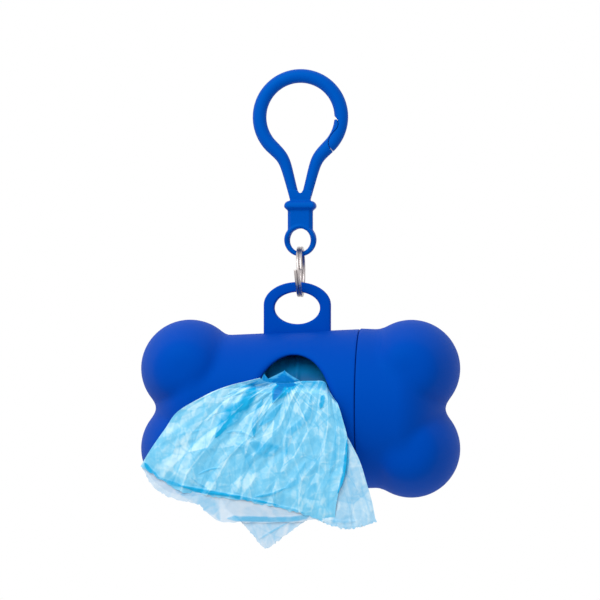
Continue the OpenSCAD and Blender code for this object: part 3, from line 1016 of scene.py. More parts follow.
    def _rim(self, border: np.ndarray) -> np.ndarray:
        """Round the rim over and go down the opening's wall.

        Args:
            border: Points round the gap in the skin.

        Returns:
            Rings of points from the skin to the bore.
        """
        angle = self.window.angle(border)
        rings = []
        for step in np.linspace(0.0, np.pi / 2.0, 9):
            x, z = self.window.place(angle, self.window.rim * (1.0 - math.sin(step)))
            y = -np.sqrt(self.form.skin_r(x) ** 2 - z**2) + self.window.rim_drop * (1.0 - math.cos(step))
            rings.append(np.stack([x, y, z], axis=-1))
        x, z = self.window.place(angle, 0.0)
        outer, inner = rings[-1][:, 1], -np.sqrt(self._bore(x) ** 2 - z**2)
        for t in (0.3, 0.7, 1.0):
            rings.append(np.stack([x, outer * (1 - t) + inner * t, z], axis=-1))
        return np.array(rings)

    def body(self) -> bpy.types.Object:
        """Make the body's shell, inside and out, with its neck and opening.

        Returns:
            The piece.
        """
        f = self.form
        plan = MeshPlan("case_body_shell")
        across = np.linspace(self.window.x_to, self.window.x_from, self.window.rows)
        beyond = np.linspace(self.window.x_from, -f.fan_x, 10)[1:]
        stations, skin = self._skin(plan, f.joint_x, -1.0, np.concatenate([self.body_land, across, beyond]))
        border = np.array([skin[r, c] for r, c in self._hole_border(stations)])
        plan.grid(self._window_rings(border, f.skin_r, self.window.rim), wrap_cols=True)
        rim = self._rim(border)
        plan.grid(rim, wrap_cols=True)
        mouth, neck = f.joint_x + self.neck_len, self.cavity_r + self.neck_wall
        rises = (neck, neck + self.bead, neck + self.bead, neck)
        profile = [(f.joint_x, f.barrel_r - self.lip), (f.joint_x, neck)]
        profile += [(mouth - back, r) for back, r in zip(self.bead_at, rises)]
        profile += [(mouth - self.neck_chamfer, neck), (mouth, neck - self.neck_chamfer),
                    (mouth, self.cavity_r + self.chamfer), (mouth - self.chamfer, self.cavity_r)]
        plan.grid(self._revolve(profile), wrap_cols=True)
        self._inner(plan, mouth, across, rim[-1])
        return self._lower(plan.build())

    def _inner(self, plan: MeshPlan, mouth: float, across: np.ndarray, oval: np.ndarray) -> None:
        """Add the body's cavity, with the same gap for the window.

        Args:
            plan: What the cavity is added to.
            mouth: X of the neck's mouth.
            across: X of the rings that the window crosses.
            oval: Where the opening's wall meets the bore.
        """
        far = [*self.bore_far, -self.form.dome_x]
        xs = np.concatenate([[mouth - self.chamfer, self.bore_near], across, far])
        radii = self._bore(xs)
        radii[0] = self.cavity_r
        rings = self._revolve(list(zip(xs, radii)))
        plan.grid(rings, wrap_cols=True, skip=self._skip(xs))
        plan.grid(self._revolve(self._floor(-1.0, float(radii[-1]))), wrap_cols=True)
        border = np.array([rings[r, c] for r, c in self._hole_border(xs)])
        patch = self._window_rings(border, self._bore, 0.0)
        plan.grid(np.concatenate([patch, oval[None]]), wrap_cols=True)

    def cap(self) -> bpy.types.Object:
        """Make the cap's shell, inside and out.

        Returns:
            The piece.
        """
        f = self.form
        plan = MeshPlan("case_cap_shell")
        start = f.joint_x + self.joint_gap
        _, skin = self._skin(plan, start, 1.0, np.linspace(start + self.lip_land, f.fan_x, 6))
        edge_r = float(np.linalg.norm(skin[0, 0, 1:]))
        end = f.joint_x + self.neck_len + self.joint_gap + self.neck_room
        profile = [(start, edge_r), (start, self.socket_r + self.chamfer),
                   (start + self.chamfer, self.socket_r), (end, self.socket_r), (end, self.cavity_r)]
        plan.grid(self._revolve(profile + self._floor(1.0, self.cap_bore_r)), wrap_cols=True)
        return self._lower(plan.build())

    def tab(self) -> bpy.types.Object:
        """Make the hanging tab, with softened edges round its outline and its hole.

        Its crown is half an oval, found where each ray from the hole's centre meets it. Below that the sides
        are straight, down to a foot that lies inside the barrel.

        Returns:
            The piece.
        """
        turn = circle(176)
        c, s = np.cos(turn), np.sin(turn)
        inner = 1.0 / np.hypot(c / self.tab_hole[0], s / self.tab_hole[1])
        rise = self.tab_hole[1] + self.tab_bar - self.tab_crown
        a = (c / self.tab_half) ** 2 + (s / self.tab_crown) ** 2
        b = -2.0 * s * rise / self.tab_crown**2
        crown = (-b + np.sqrt(b * b - 4.0 * a * ((rise / self.tab_crown) ** 2 - 1.0))) / (2.0 * a)
        side = self.tab_half / np.maximum(np.abs(c), TINY)
        low = (self.tab_reach - self.tab_foot) / np.maximum(-s, TINY)
        outer = np.where(crown * s >= rise, crown, np.minimum(side, low))
        soft, half, bend = self.tab_soft, self.tab_t / 2.0, quarter(18)
        back = [(1.0, -soft * (1 - math.sin(q)), half - soft * (1 - math.cos(q))) for q in bend[::-1]]
        back += [(0.0, soft * (1 - math.sin(q)), half - soft * (1 - math.cos(q))) for q in bend]
        rows = []
        for w, d, y in [(w, d, -y) for w, d, y in back] + back[::-1]:
            r = inner * (1 - w) + outer * w + d
            rows.append(np.stack([self.tab_x + r * c, np.full_like(c, y), self.tab_reach + r * s], axis=-1))
        plan = MeshPlan("case_tab")
        plan.grid(np.array(rows), wrap_rows=True, wrap_cols=True)
        return self._lower(plan.build())

    @staticmethod
    def _lower(obj: bpy.types.Object) -> bpy.types.Object:
        """Move a piece's mesh from the barrel's axis to its place below the clip.

        Args:
            obj: The piece.

        Returns:
            The same piece.
        """
        for vertex in obj.data.vertices:
            vertex.co.z += AXIS_Z * MM
        return obj

    def make(self, finishes: Finishes) -> list[bpy.types.Object]:
        """Make, dress and place every piece of the case.

        Args:
            finishes: The materials.

        Returns:
            The pieces.
        """
        body, tab, cap = self.body(), self.tab(), self.cap()
        for obj, rides in ((body, "case"), (tab, "case"), (cap, "cap")):
            dress(obj, finishes.case)
            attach(obj, rides)
        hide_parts("case_body")
        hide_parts("case_body")
        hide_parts("case_cap")
        return [body, tab, cap]


# ---------------------------------------------------------------------------------------------- the clip


@dataclass
class Clip:
    """The plastic snap clip: a bow with two arms, a collar, a shank and an eye, and a springy gate arm.

    The seam between the hook and the gate is given as an angle in degrees, and how many thicknesses of the
    bow it lies outside the bow's middle line.
    """

    bow_r: float = 10.9
    bow_d: float = 3.7
    bow_from: float = 226.0
    bow_to: float = -52.0
    bow_lead: float = 0.26
    root_d: float = 2.7
    root_half: float = 2.1
    root_z: float = -19.4
    root_lead: float = 0.44
    lean: float = 15.0
    web_half_t: float = 1.35
    notch_room: float = 0.1
    collar_z: float = -23.65
    collar_r: float = 4.2
    collar_t: float = 5.4
    collar_h: float = 2.7
    shank_w: float = 6.6
    shank_t: float = 3.6
    eye_z: float = -32.7
    eye_r: float = 4.3
    eye_hole: tuple[float, float] = (5.5, 6.2)
    eye_t: float = 2.0
    eye_rise: float = 0.3
    seam: tuple[tuple[float, float], ...] = (
        (4, -0.62), (0, -0.44), (-4, -0.27), (-8.5, -0.16), (-13.5, -0.11), (-19, -0.16),
        (-24.5, -0.27), (-31, -0.34), (-37.5, -0.30), (-42.5, -0.15), (-45.6, 0.1), (-46.4, 0.45),
    )
    seam_gap: float = 0.12
    gate_foot: float = 1.3
    gate_top: float = 4.0
    gate_split: float = -9.7
    hook_voxel: float = 0.15
    gate_voxel: float = 0.12

    def _leg(self, count: int = 30) -> tuple[np.ndarray, np.ndarray]:
        """Lay out the left arm from its root to the bow.

        Args:
            count: How many points.

        Returns:
            The path, and the arm's thickness at each of its points.
        """
        start = polar(self.bow_r, self.bow_from)
        bow_lead, root_lead = -self.root_z * self.bow_lead, -self.root_z * self.root_lead
        turn, lean = math.radians(self.bow_from - 270.0), math.radians(self.lean)
        root = np.array([-self.root_half, self.root_z])
        p = [start, start + bow_lead * np.array([math.cos(turn), math.sin(turn)]),
             root + root_lead * np.array([-math.sin(lean), math.cos(lean)]), root]
        t = np.linspace(1.0, 0.0, count)[:, None]
        path = (1 - t) ** 3 * p[0] + 3 * t * (1 - t) ** 2 * p[1] + 3 * t**2 * (1 - t) * p[2] + t**3 * p[3]
        return path, self.bow_d + (self.root_d - self.bow_d) * t[:, 0]

    def _arm(
        self, side: float, foot: float, start: float, end: float, count: int
    ) -> tuple[np.ndarray, np.ndarray]:
        """Lay out an arm from its foot, up its leg and round the bow.

        Args:
            side: -1 for the hook's arm and 1 for the gate.
            foot: How far the arm runs on below its root.
            start: Angle in degrees where the leg meets the bow.
            end: Angle in degrees where the arm ends.
            count: Points round the bow.

        Returns:
            The path, and the arm's radius at each of its points.
        """
        leg, thick = self._leg()
        leg = leg * np.array([-side, 1.0])
        low = leg[0] + foot * np.array([-side * math.tan(math.radians(self.lean)), -1.0])
        bow = polar(self.bow_r, np.linspace(start, end, count)[1:])
        half = np.concatenate([[self.root_d], thick, np.full(len(bow), self.bow_d)]) / 2.0
        return np.concatenate([[low], leg, bow]), half

    def _places(self, seam: Line) -> list[np.ndarray]:
        """Return X and Z of points given as the seam's are."""
        return [polar(self.bow_r + self.bow_d * w, a) for a, w in seam]

    def _seam_cutter(self, inset: float, first: int) -> bpy.types.Object:
        """Make a prism that holds everything on the gate's side of the seam.

        Args:
            inset: How far it stays back from the seam.
            first: Number of the seam's point that it starts at.

        Returns:
            The prism.
        """
        line = spline(self._places(self.seam[first:]), np.linspace(0.0, 1.0, 60))
        way = heading(line)
        line = line + inset * np.stack([way[:, 1], -way[:, 0]], axis=1)
        tip = self.seam[first]
        beyond = [(-47, 1), (-60, 1.6), (-80, 0.8), (-80, -1.6), (-30, -1.4), (tip[0] - first, tip[1] - 0.6)]
        depth = 2.0 * self.bow_d
        shape = np.concatenate([line, self._places(beyond)])
        return solid("seam_cutter", plates(shape, (-depth, depth)), smooth=False)

    def _web(self) -> bpy.types.Object:
        """Make the web that joins both arms over the collar, with a round notch between them.

        Returns:
            The solid.
        """
        top = self.root_half + 0.5 * self.root_d
        low = top - math.tan(math.radians(self.lean)) * (self.root_z - self.collar_z)
        notch = self.root_half - 0.5 * self.root_d - self.notch_room
        notch_z = self.root_z - 0.3 * self.root_d + notch
        x, z = top - 0.2, self.root_z - 0.1
        shape = [(x, z), (low, self.collar_z), (-low, self.collar_z), (-x, z), (-notch, z)]
        arc = np.radians(np.arange(180, 361, 15))
        shape += [(notch * math.cos(a), notch_z + notch * math.sin(a)) for a in arc] + [(notch, z)]
        return solid("web", plates(np.array(shape), (-self.web_half_t, self.web_half_t)))

    def _collar(self) -> bpy.types.Object:
        """Make the collar, a flat-sided band with a rounded upper edge and a chamfered lower one.

        Returns:
            The solid.
        """
        h = self.collar_h / 2.0
        profile = [(0.75 * h, -h), (0.04, -0.3 * h), (0.0, 0.0), (0.06, 0.3 * h), (0.24 * h, 0.65 * h),
                   (0.55 * h, 0.9 * h), (0.9 * h, h)]
        turn = circle(144)
        c, d = np.abs(np.cos(turn)) + TINY, np.abs(np.sin(turn)) + TINY
        rings = []
        for inset, z in profile:
            r = np.minimum((self.collar_r - inset) / c, (self.collar_t / 2.0 - inset) / d)
            r = np.minimum(r, 1.08 * self.collar_r - inset)
            high = np.full_like(r, self.collar_z + z)
            rings.append(np.stack([r * np.cos(turn), r * np.sin(turn), high], axis=1))
        return solid("collar", np.array(rings))

    def _shank(self) -> bpy.types.Object:
        """Make the shank, with chamfered upright edges.

        Returns:
            The solid.
        """
        x, y, c = self.shank_w / 2.0, self.shank_t / 2.0, self.shank_t / 4.0
        flat = [(-x, c - y), (c - x, -y), (x - c, -y), (x, c - y),
                (x, y - c), (x - c, y), (c - x, y), (-x, y - c)]
        ends = (self.eye_z + 0.6 * self.eye_r, self.collar_z)
        return solid("shank", np.array([[(*corner, z) for corner in flat] for z in ends]))

    def _eye(self) -> bpy.types.Object:
        """Make the eye, which is thin below and stands proud of the shank at its top.

        Returns:
            The solid.
        """
        around = circle(96)
        across, up = self.eye_hole[0] / 2, self.eye_hole[1] / 2
        inner = 1.0 / np.hypot(np.cos(around) / across, np.sin(around) / up)
        mid, half = (self.eye_r + inner) / 2.0, (self.eye_r - inner) / 2.0
        proud = self.shank_t / 2.0 + self.eye_rise
        thick = self.eye_t / 2.0 + (proud - self.eye_t / 2.0) * ease(0.5 + 1.1 * np.sin(around))
        rows = []
        for q in circle(24):
            r, y = mid + half * squared(np.cos(q), 0.8), thick * squared(np.sin(q), 0.75)
            rows.append(np.stack([r * np.cos(around), y, self.eye_z + r * np.sin(around)], axis=1))
        plan = MeshPlan("eye")
        plan.grid(np.array(rows), wrap_rows=True, wrap_cols=True)
        return plan.build()

    def _eye_cutter(self) -> bpy.types.Object:
        """Make the oval bar that opens the eye through the shank's lower end.

        Returns:
            The bar.
        """
        turn = circle(48)
        across, up = self.eye_hole[0] / 2, self.eye_hole[1] / 2
        flat = np.stack([across * np.cos(turn), self.eye_z + up * np.sin(turn)], axis=1)
        return solid("eye_cutter", plates(flat, (-6.0, 6.0)))

    def hook(self) -> bpy.types.Object:
        """Make the clip's main moulding.

        Returns:
            The piece.
        """
        path, half = self._arm(-1.0, self.root_z - self.collar_z, self.bow_from, self.bow_to, 110)
        bar = solid("bow", tube(path, half))
        cut(bar, self._seam_cutter(0.0, 0), "DIFFERENCE")
        shank = self._shank()
        cut(shank, self._eye_cutter(), "DIFFERENCE")
        whole = join([bar, self._web(), self._collar(), shank, self._eye()], "clip_hook_moulding")
        melt(whole, self.hook_voxel, 5)
        return whole

    def gate(self) -> bpy.types.Object:
        """Make the springy gate arm, whose lower end runs into the web.

        Returns:
            The piece.
        """
        path, half = self._arm(1.0, self.gate_foot, 180.0 - self.bow_from, self.gate_top, 30)
        tip = solid("gate_tip", tube(path, half))
        cut(tip, self._seam_cutter(self.seam_gap, 2), "INTERSECT")
        low = int(np.argmax(path[:, 1] > self.gate_split))
        arm = join([solid("gate_root", tube(path[:low], half[:low])), tip], "clip_gate_arm")
        melt(arm, self.gate_voxel, 3)
        return arm

    def make(self, finishes: Finishes) -> list[bpy.types.Object]:
        """Make, dress and place the clip's two pieces.

        Args:
            finishes: The materials.

        Returns:
            The pieces.
        """
        hook, gate = self.hook(), self.gate()
        for obj, rides in ((hook, "clip"), (gate, "gate")):
            dress(obj, finishes.clip)
            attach(obj, rides)
        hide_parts("clip_hook")
        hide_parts("clip_gate")
        return [hook, gate]


@dataclass
class SplitRing:
    """The steel ring: two turns of flattened wire that change places opposite their ends."""

    centre_z: float = -41.1
    radius: float = 6.25
    wire_w: float = 0.76
    wire_h: float = 0.9
    shift: float = 0.39
    start: float = 176.0
    crossing: float = 120.0

    def _side(self, a: np.ndarray) -> np.ndarray:
        """Let the wire cross from one side to the other at its start, its middle and its end.

        Args:
            a: Angles along the wire, in degrees.

        Returns:
            The wire's place along X at each angle.
        """
        over, centres = self.crossing, (0.0, 360.0, 720.0)
        first, second, third = (ease((a - centre + over / 2) / over) for centre in centres)
        return self.shift * (-1 + 2 * second - (1 - first) * 2 + 2 * third)

    def make(self, finishes: Finishes) -> list[bpy.types.Object]:
        """Make, dress and place the ring.

        Args:
            finishes: The materials.

        Returns:
            The ring, in a list.
        """
        a = np.linspace(0.0, 720.0, 361)
        t = np.radians(self.start + a)
        out = np.stack([np.zeros_like(t), np.cos(t), np.sin(t)], axis=1)
        centre = np.stack([self._side(a), np.zeros_like(a), np.full_like(a, self.centre_z)], axis=1)
        centre = centre + self.radius * out
        turn = circle(20)
        wide = squared(np.cos(turn), 0.6) * self.wire_w / 2
        high = squared(np.sin(turn), 0.6) * self.wire_h / 2
        section = centre[:, None, :] + wide[None, :, None] * np.array([1.0, 0.0, 0.0])
        ring = solid("split_ring_wire", section + high[None, :, None] * out[:, None, :])
        dress(ring, finishes.ring)
        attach(ring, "ring")
        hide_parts("split_ring")
        return [ring]


# ---------------------------------------------------------------------------------------------- the bags


@dataclass
class Roll:
    """The refill roll: film wound on a paper core."""

    axis_z: float = -78.23
    half_w: float = 29.0
    radius: float = 15.0
    core_r: float = 7.0
    core_wall: float = 1.0
    fit: float = 0.02
    uneven: float = 0.25
    layers: int = 26

    def _tube(self, name: str, outer: Line, inner: float) -> bpy.types.Object:
        """Turn a tube about the roll's axis.

        Args:
            name: Its name.
            outer: Its outer profile, as X and radius.
            inner: Radius of its plain bore.

        Returns:
            The tube.
        """
        profile = [*outer, (self.half_w - 0.1, inner), (0.1 - self.half_w, inner)]
        turn = circle(128)
        rows = [np.stack([np.full_like(turn, x), r * np.cos(turn), self.axis_z + r * np.sin(turn)], axis=1)
                for x, r in profile]
        plan = MeshPlan(name)
        plan.grid(np.array(rows), wrap_rows=True, wrap_cols=True)
        return plan.build()

    def make(self, finishes: Finishes) -> list[bpy.types.Object]:
        """Make, dress and place the roll and its core.

        Args:
            finishes: The materials.

        Returns:
            The pieces.
        """
        rng = np.random.default_rng(7)
        steps = np.linspace(self.core_r, self.radius - 0.3, self.layers)
        edge = self.half_w - self.uneven * rng.random(self.layers)
        side = [(-x, r) for x, r in zip(edge, steps)] + [(-self.half_w + 0.4, self.radius)]
        wound = side + [(-x, r) for x, r in side[::-1]]
        film = self._tube("bag_roll_film", wound, self.core_r + self.fit)
        half, low, high = self.half_w, self.core_r - 0.4, self.core_r - self.fit
        ends = [(-half, low), (-half + 0.3, high), (half - 0.3, high), (half, low)]
        core = self._tube("roll_core_tube", ends, self.core_r - self.core_wall)
        dress(film, finishes.roll)
        dress(core, finishes.core)
        for obj, node in ((film, "bag_roll"), (core, "roll_core")):
            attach(obj, "roll")
            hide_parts(node)
        return [film, core]


class Layer(Enum):
    """The pieces of loose film, from the front to the back."""

    FRONT = "bag_front_panel"
    SIDE = "bag_side_panel"
    REAR = "bag_rear_panel"
    TAIL = "bag_tail_panel"
    THROAT = "bag_throat_film"


@dataclass(frozen=True)
class Fold:
    """A stroke of film, given as X and height over the barrel's axis.

    Where the amount is positive it lies in several layers and looks deeper. Where it is negative it is a
    painted highlight: the film is painted lighter there.
    """

    line: Line
    width: float
    amount: float = 1.0
    lift: float = 0.25
    taper: float = 0.3

    def cover(self, x: np.ndarray, z: np.ndarray) -> np.ndarray:
        """Return how much of the fold lies at each point, up to its amount.

        Args:
            x: Places along the barrel.
            z: Heights over the barrel's axis.

        Returns:
            The cover, soft at the stroke's edges and narrower towards its ends.
        """
        nodes = spline(self.line, np.linspace(0.0, 1.0, 24))
        best = np.zeros_like(x)
        for k, (a, b) in enumerate(zip(nodes[:-1], nodes[1:])):
            step = b - a
            t = np.clip(((x - a[0]) * step[0] + (z - a[1]) * step[1]) / float(step @ step), 0.0, 1.0)
            gap = np.hypot(x - a[0] - t * step[0], z - a[1] - t * step[1])
            along = (k + t) / (len(nodes) - 1)
            half = self.width / 2.0 * np.minimum(1.0, 0.15 + np.minimum(along, 1.0 - along) / self.taper)
            best = np.maximum(best, 1.0 - ease(gap / half - 0.5))
        return best * self.amount


def facets(place: np.ndarray, rng: np.random.Generator, cell: float) -> np.ndarray:
    """Return a crumpled height of flat facets that meet in straight creases.

    The square of the distance to the nearest of some sites, less the same for other sites, is flat inside
    each facet.

    Args:
        place: Rows x columns x 2 coordinates in millimetres.
        rng: Where the sites come from.
        cell: Usual size of a facet, in millimetres.

    Returns:
        Heights with a mean of 0 and a spread of 1.
    """
    flat = place.reshape(-1, 2)
    low, high = flat.min(axis=0) - cell, flat.max(axis=0) + cell
    count = max(8, int(np.prod(high - low) / cell**2))
    total = np.zeros(place.shape[:2])
    for sign in (1.0, -1.0):
        near = np.full(place.shape[:2], 1e9)
        for site in low + rng.random((count, 2)) * (high - low):
            near = np.minimum(near, (place[..., 0] - site[0]) ** 2 + (place[..., 1] - site[1]) ** 2)
        total += sign * near
    total -= total.mean()
    return total / total.std()


def zigzag(t: np.ndarray) -> np.ndarray:
    """Return straight ups and downs between 0 and 1, one for each unit of t."""
    return np.abs(2.0 * (t - np.floor(t)) - 1.0)


@dataclass
class FilmPanel:
    """One panel of crumpled film between four edge curves.

    The curves are given as X and height over the barrel's axis. On the panel, u runs from 0 at the left to
    1 at the right, and v from 0 at the top to 1 at the hem.
    """

    layer: Layer
    top: Line
    hem: Line
    left: Line
    right: Line
    y_top: float
    y_low: float
    seed: int
    flat: tuple[float, float]
    folds: Sequence[Fold] = ()
    pleats: float = 7.0
    pleat_depth: float = 0.22
    crumple: float = 0.17
    loft: float = 0.55
    ragged: float = 0.15
    size: tuple[int, int] = (280, 210)
    leave: float = 0.17
    shoulder: float = 0.0
    shoulder_u: float = 0.22
    tuck: float = 0.0
    rooted: float = 1.0
    rooted_v: float = 0.12

    def _patch(self, u: np.ndarray, v: np.ndarray) -> np.ndarray:
        """Blend the four edge curves.

        Args:
            u: Places across the panel.
            v: Places down the panel.

        Returns:
            X and height of each place.
        """
        top, hem = spline(self.top, u), spline(self.hem, u)
        left, right = spline(self.left, v), spline(self.right, v)
        uu, vv = u[..., None], v[..., None]
        corner = [np.asarray(p, dtype=float) for p in (self.top[0], self.top[-1], self.hem[0], self.hem[-1])]
        flat = (1 - vv) * top + vv * hem + (1 - uu) * left + uu * right
        return (flat - (1 - uu) * (1 - vv) * corner[0] - uu * (1 - vv) * corner[1]
                - (1 - uu) * vv * corner[2] - uu * vv * corner[3])

    def _relief(self, u: np.ndarray, v: np.ndarray, flat: np.ndarray) -> tuple[np.ndarray, np.ndarray]:
        """Crumple the film into pleats that run down from the throat, and into facets of three sizes.

        Args:
            u: Places across the panel.
            v: Places down the panel.
            flat: X and height of each place.

        Returns:
            How far the film stands forward, and its painted light and shade: lighter where facets face the
            upper left and along crease ridges, darker in the valleys, with faint random streaks.
        """
        rng = np.random.default_rng(self.seed)
        wide, tall = np.ptp(flat[..., 0]), np.ptp(flat[..., 1])
        sway = 0.05 * np.sin(6.0 * v + 9.0 * rng.random()) + 0.03 * np.sin(13.0 * v + 9.0 * rng.random())
        wave = (u + sway) * self.pleats + rng.random()
        pleats = zigzag(wave) + 0.5 * zigzag(2.3 * wave)
        long = facets(np.stack([u * wide, v * tall * 0.33], axis=-1), rng, LONG_FACET)
        across, below = flat[..., 0] - FAN_X, FAN_Z - flat[..., 1]
        ray, turn = np.hypot(across, below), np.arctan2(across, below)
        short = facets(np.stack([20.0 * turn, 0.55 * ray], axis=-1), rng, SHORT_FACET)
        fine = facets(flat, rng, FINE_FACET)
        streaks = facets(np.stack([26.0 * turn, 0.1 * ray], axis=-1), rng, STREAK)
        fade = 0.35 + 0.65 * ease(v / 0.2)
        down = ease((v - 0.1) / 0.5)
        high = self.pleat_depth * (pleats - pleats.mean())
        high = high + self.crumple * fade * (long * (1.0 - 0.4 * down) + 0.6 * short * down + 0.1 * fine)
        # Painted light and shade: facets that face up and to the left are painted lighter, the others darker.
        tone = np.full_like(u, 0.5)
        for part, share, shown in (
            (long, 0.12, 1.0 - 0.3 * down),
            (short, 0.11, 0.3 + 0.7 * down),
            (fine, 0.03, 1.0),
            (pleats, 0.05, 1.0 - down),
        ):
            tone = tone + self._lean(flat, part) * share * shown
        tone = tone + np.clip(streaks, -2.0, 2.0) * 0.04 * (1.0 - 0.5 * down)
        # Painted light along crease ridges and painted shade in their valleys.
        for part, share in ((long, 0.07), (short, 0.07), (fine, 0.04)):
            ridge = -sum(np.gradient(np.gradient(part, axis=k), axis=k) for k in (0, 1))
            tone = tone + share * np.clip(ridge / ridge.std(), -3.0, 3.0)
        return np.clip(high + self.loft, 0.0, 2.4 * self.loft), np.clip(tone, 0.0, 1.0)

    @staticmethod
    def _lean(flat: np.ndarray, high: np.ndarray) -> np.ndarray:
        """Judge how much a relief faces up and to the left; the film is painted lighter the more it does.

        Args:
            flat: X and height of each place.
            high: How far each place stands forward.

        Returns:
            The lean at each place, with a spread of 1.
        """
        points = np.stack([flat[..., 0], -high, flat[..., 1]], axis=-1)
        normal = np.cross(np.gradient(points, axis=0), np.gradient(points, axis=1))
        normal /= np.linalg.norm(normal, axis=2)[..., None] * -np.sign(normal[..., 1:2])
        lean = 0.8 * normal[..., 2] - 0.6 * normal[..., 0]
        return np.clip((lean - lean.mean()) / lean.std(), -2.0, 2.0)

    def make(self, material: bpy.types.Material, rests_on: Sequence[str]) -> bpy.types.Object:
        """Make the panel as one open sheet.

        Args:
            material: Its film.
            rests_on: Not used.

        Returns:
            The panel.
        """
        nu, nv = self.size
        v, u = np.meshgrid(np.linspace(0.0, 1.0, nv), np.linspace(0.0, 1.0, nu), indexing="ij")
        flat = self._patch(u, v)
        rng = np.random.default_rng(self.seed + 50)
        torn = spline(rng.normal(0.0, self.ragged, (60, 2)), u[0])
        flat += (ease((v - 0.95) / 0.05))[..., None] * torn[None]
        high, tone = self._relief(u, v, flat)
        layers = np.zeros_like(u)
        for fold in self.folds:
            cover = fold.cover(flat[..., 0], flat[..., 1])
            layers = np.maximum(layers, cover)
            # A negative fold paints a highlight: it lifts the painted light.
            tone = np.clip(tone - np.minimum(cover, 0.0), 0.0, 1.0)
            high = high + fold.lift * np.abs(cover)
        out = np.ones_like(v)
        if self.leave:
            near_edge = 1.0 - ease(np.minimum(u, 1.0 - u) / self.shoulder_u)
            out = np.maximum(ease(v / self.leave), self.shoulder * near_edge)
        high = np.maximum(high, 0.0) * (self.rooted + (1.0 - self.rooted) * ease(v / self.rooted_v))
        y = self.y_top + (self.y_low - self.y_top) * out - high + self.tuck * ease((v - 0.9) / 0.1)
        panel = film_sheet(self.layer.value, flat[..., 0], y, flat[..., 1] + AXIS_Z, layers=layers, tone=tone)
        dress(panel, material)
        return panel


def film_sheet(
    name: str, x: np.ndarray, y: np.ndarray, z: np.ndarray, **marks: np.ndarray
) -> bpy.types.Object:
    """Make an open sheet.

    Args:
        name: The piece's name.
        x: Rows x columns of X in millimetres.
        y: The same of Y.
        z: The same of Z.
        marks: Values that the sheet keeps for each point, for its material.

    Returns:
        The sheet.
    """
    plan = MeshPlan(name)
    plan.grid(np.stack([x, y, z], axis=-1))
    sheet = plan.build(weld=0.0, closed=False)
    for key, values in marks.items():
        sheet.data.attributes.new(key, "FLOAT", "POINT").data.foreach_set("value", values.ravel())
    return sheet


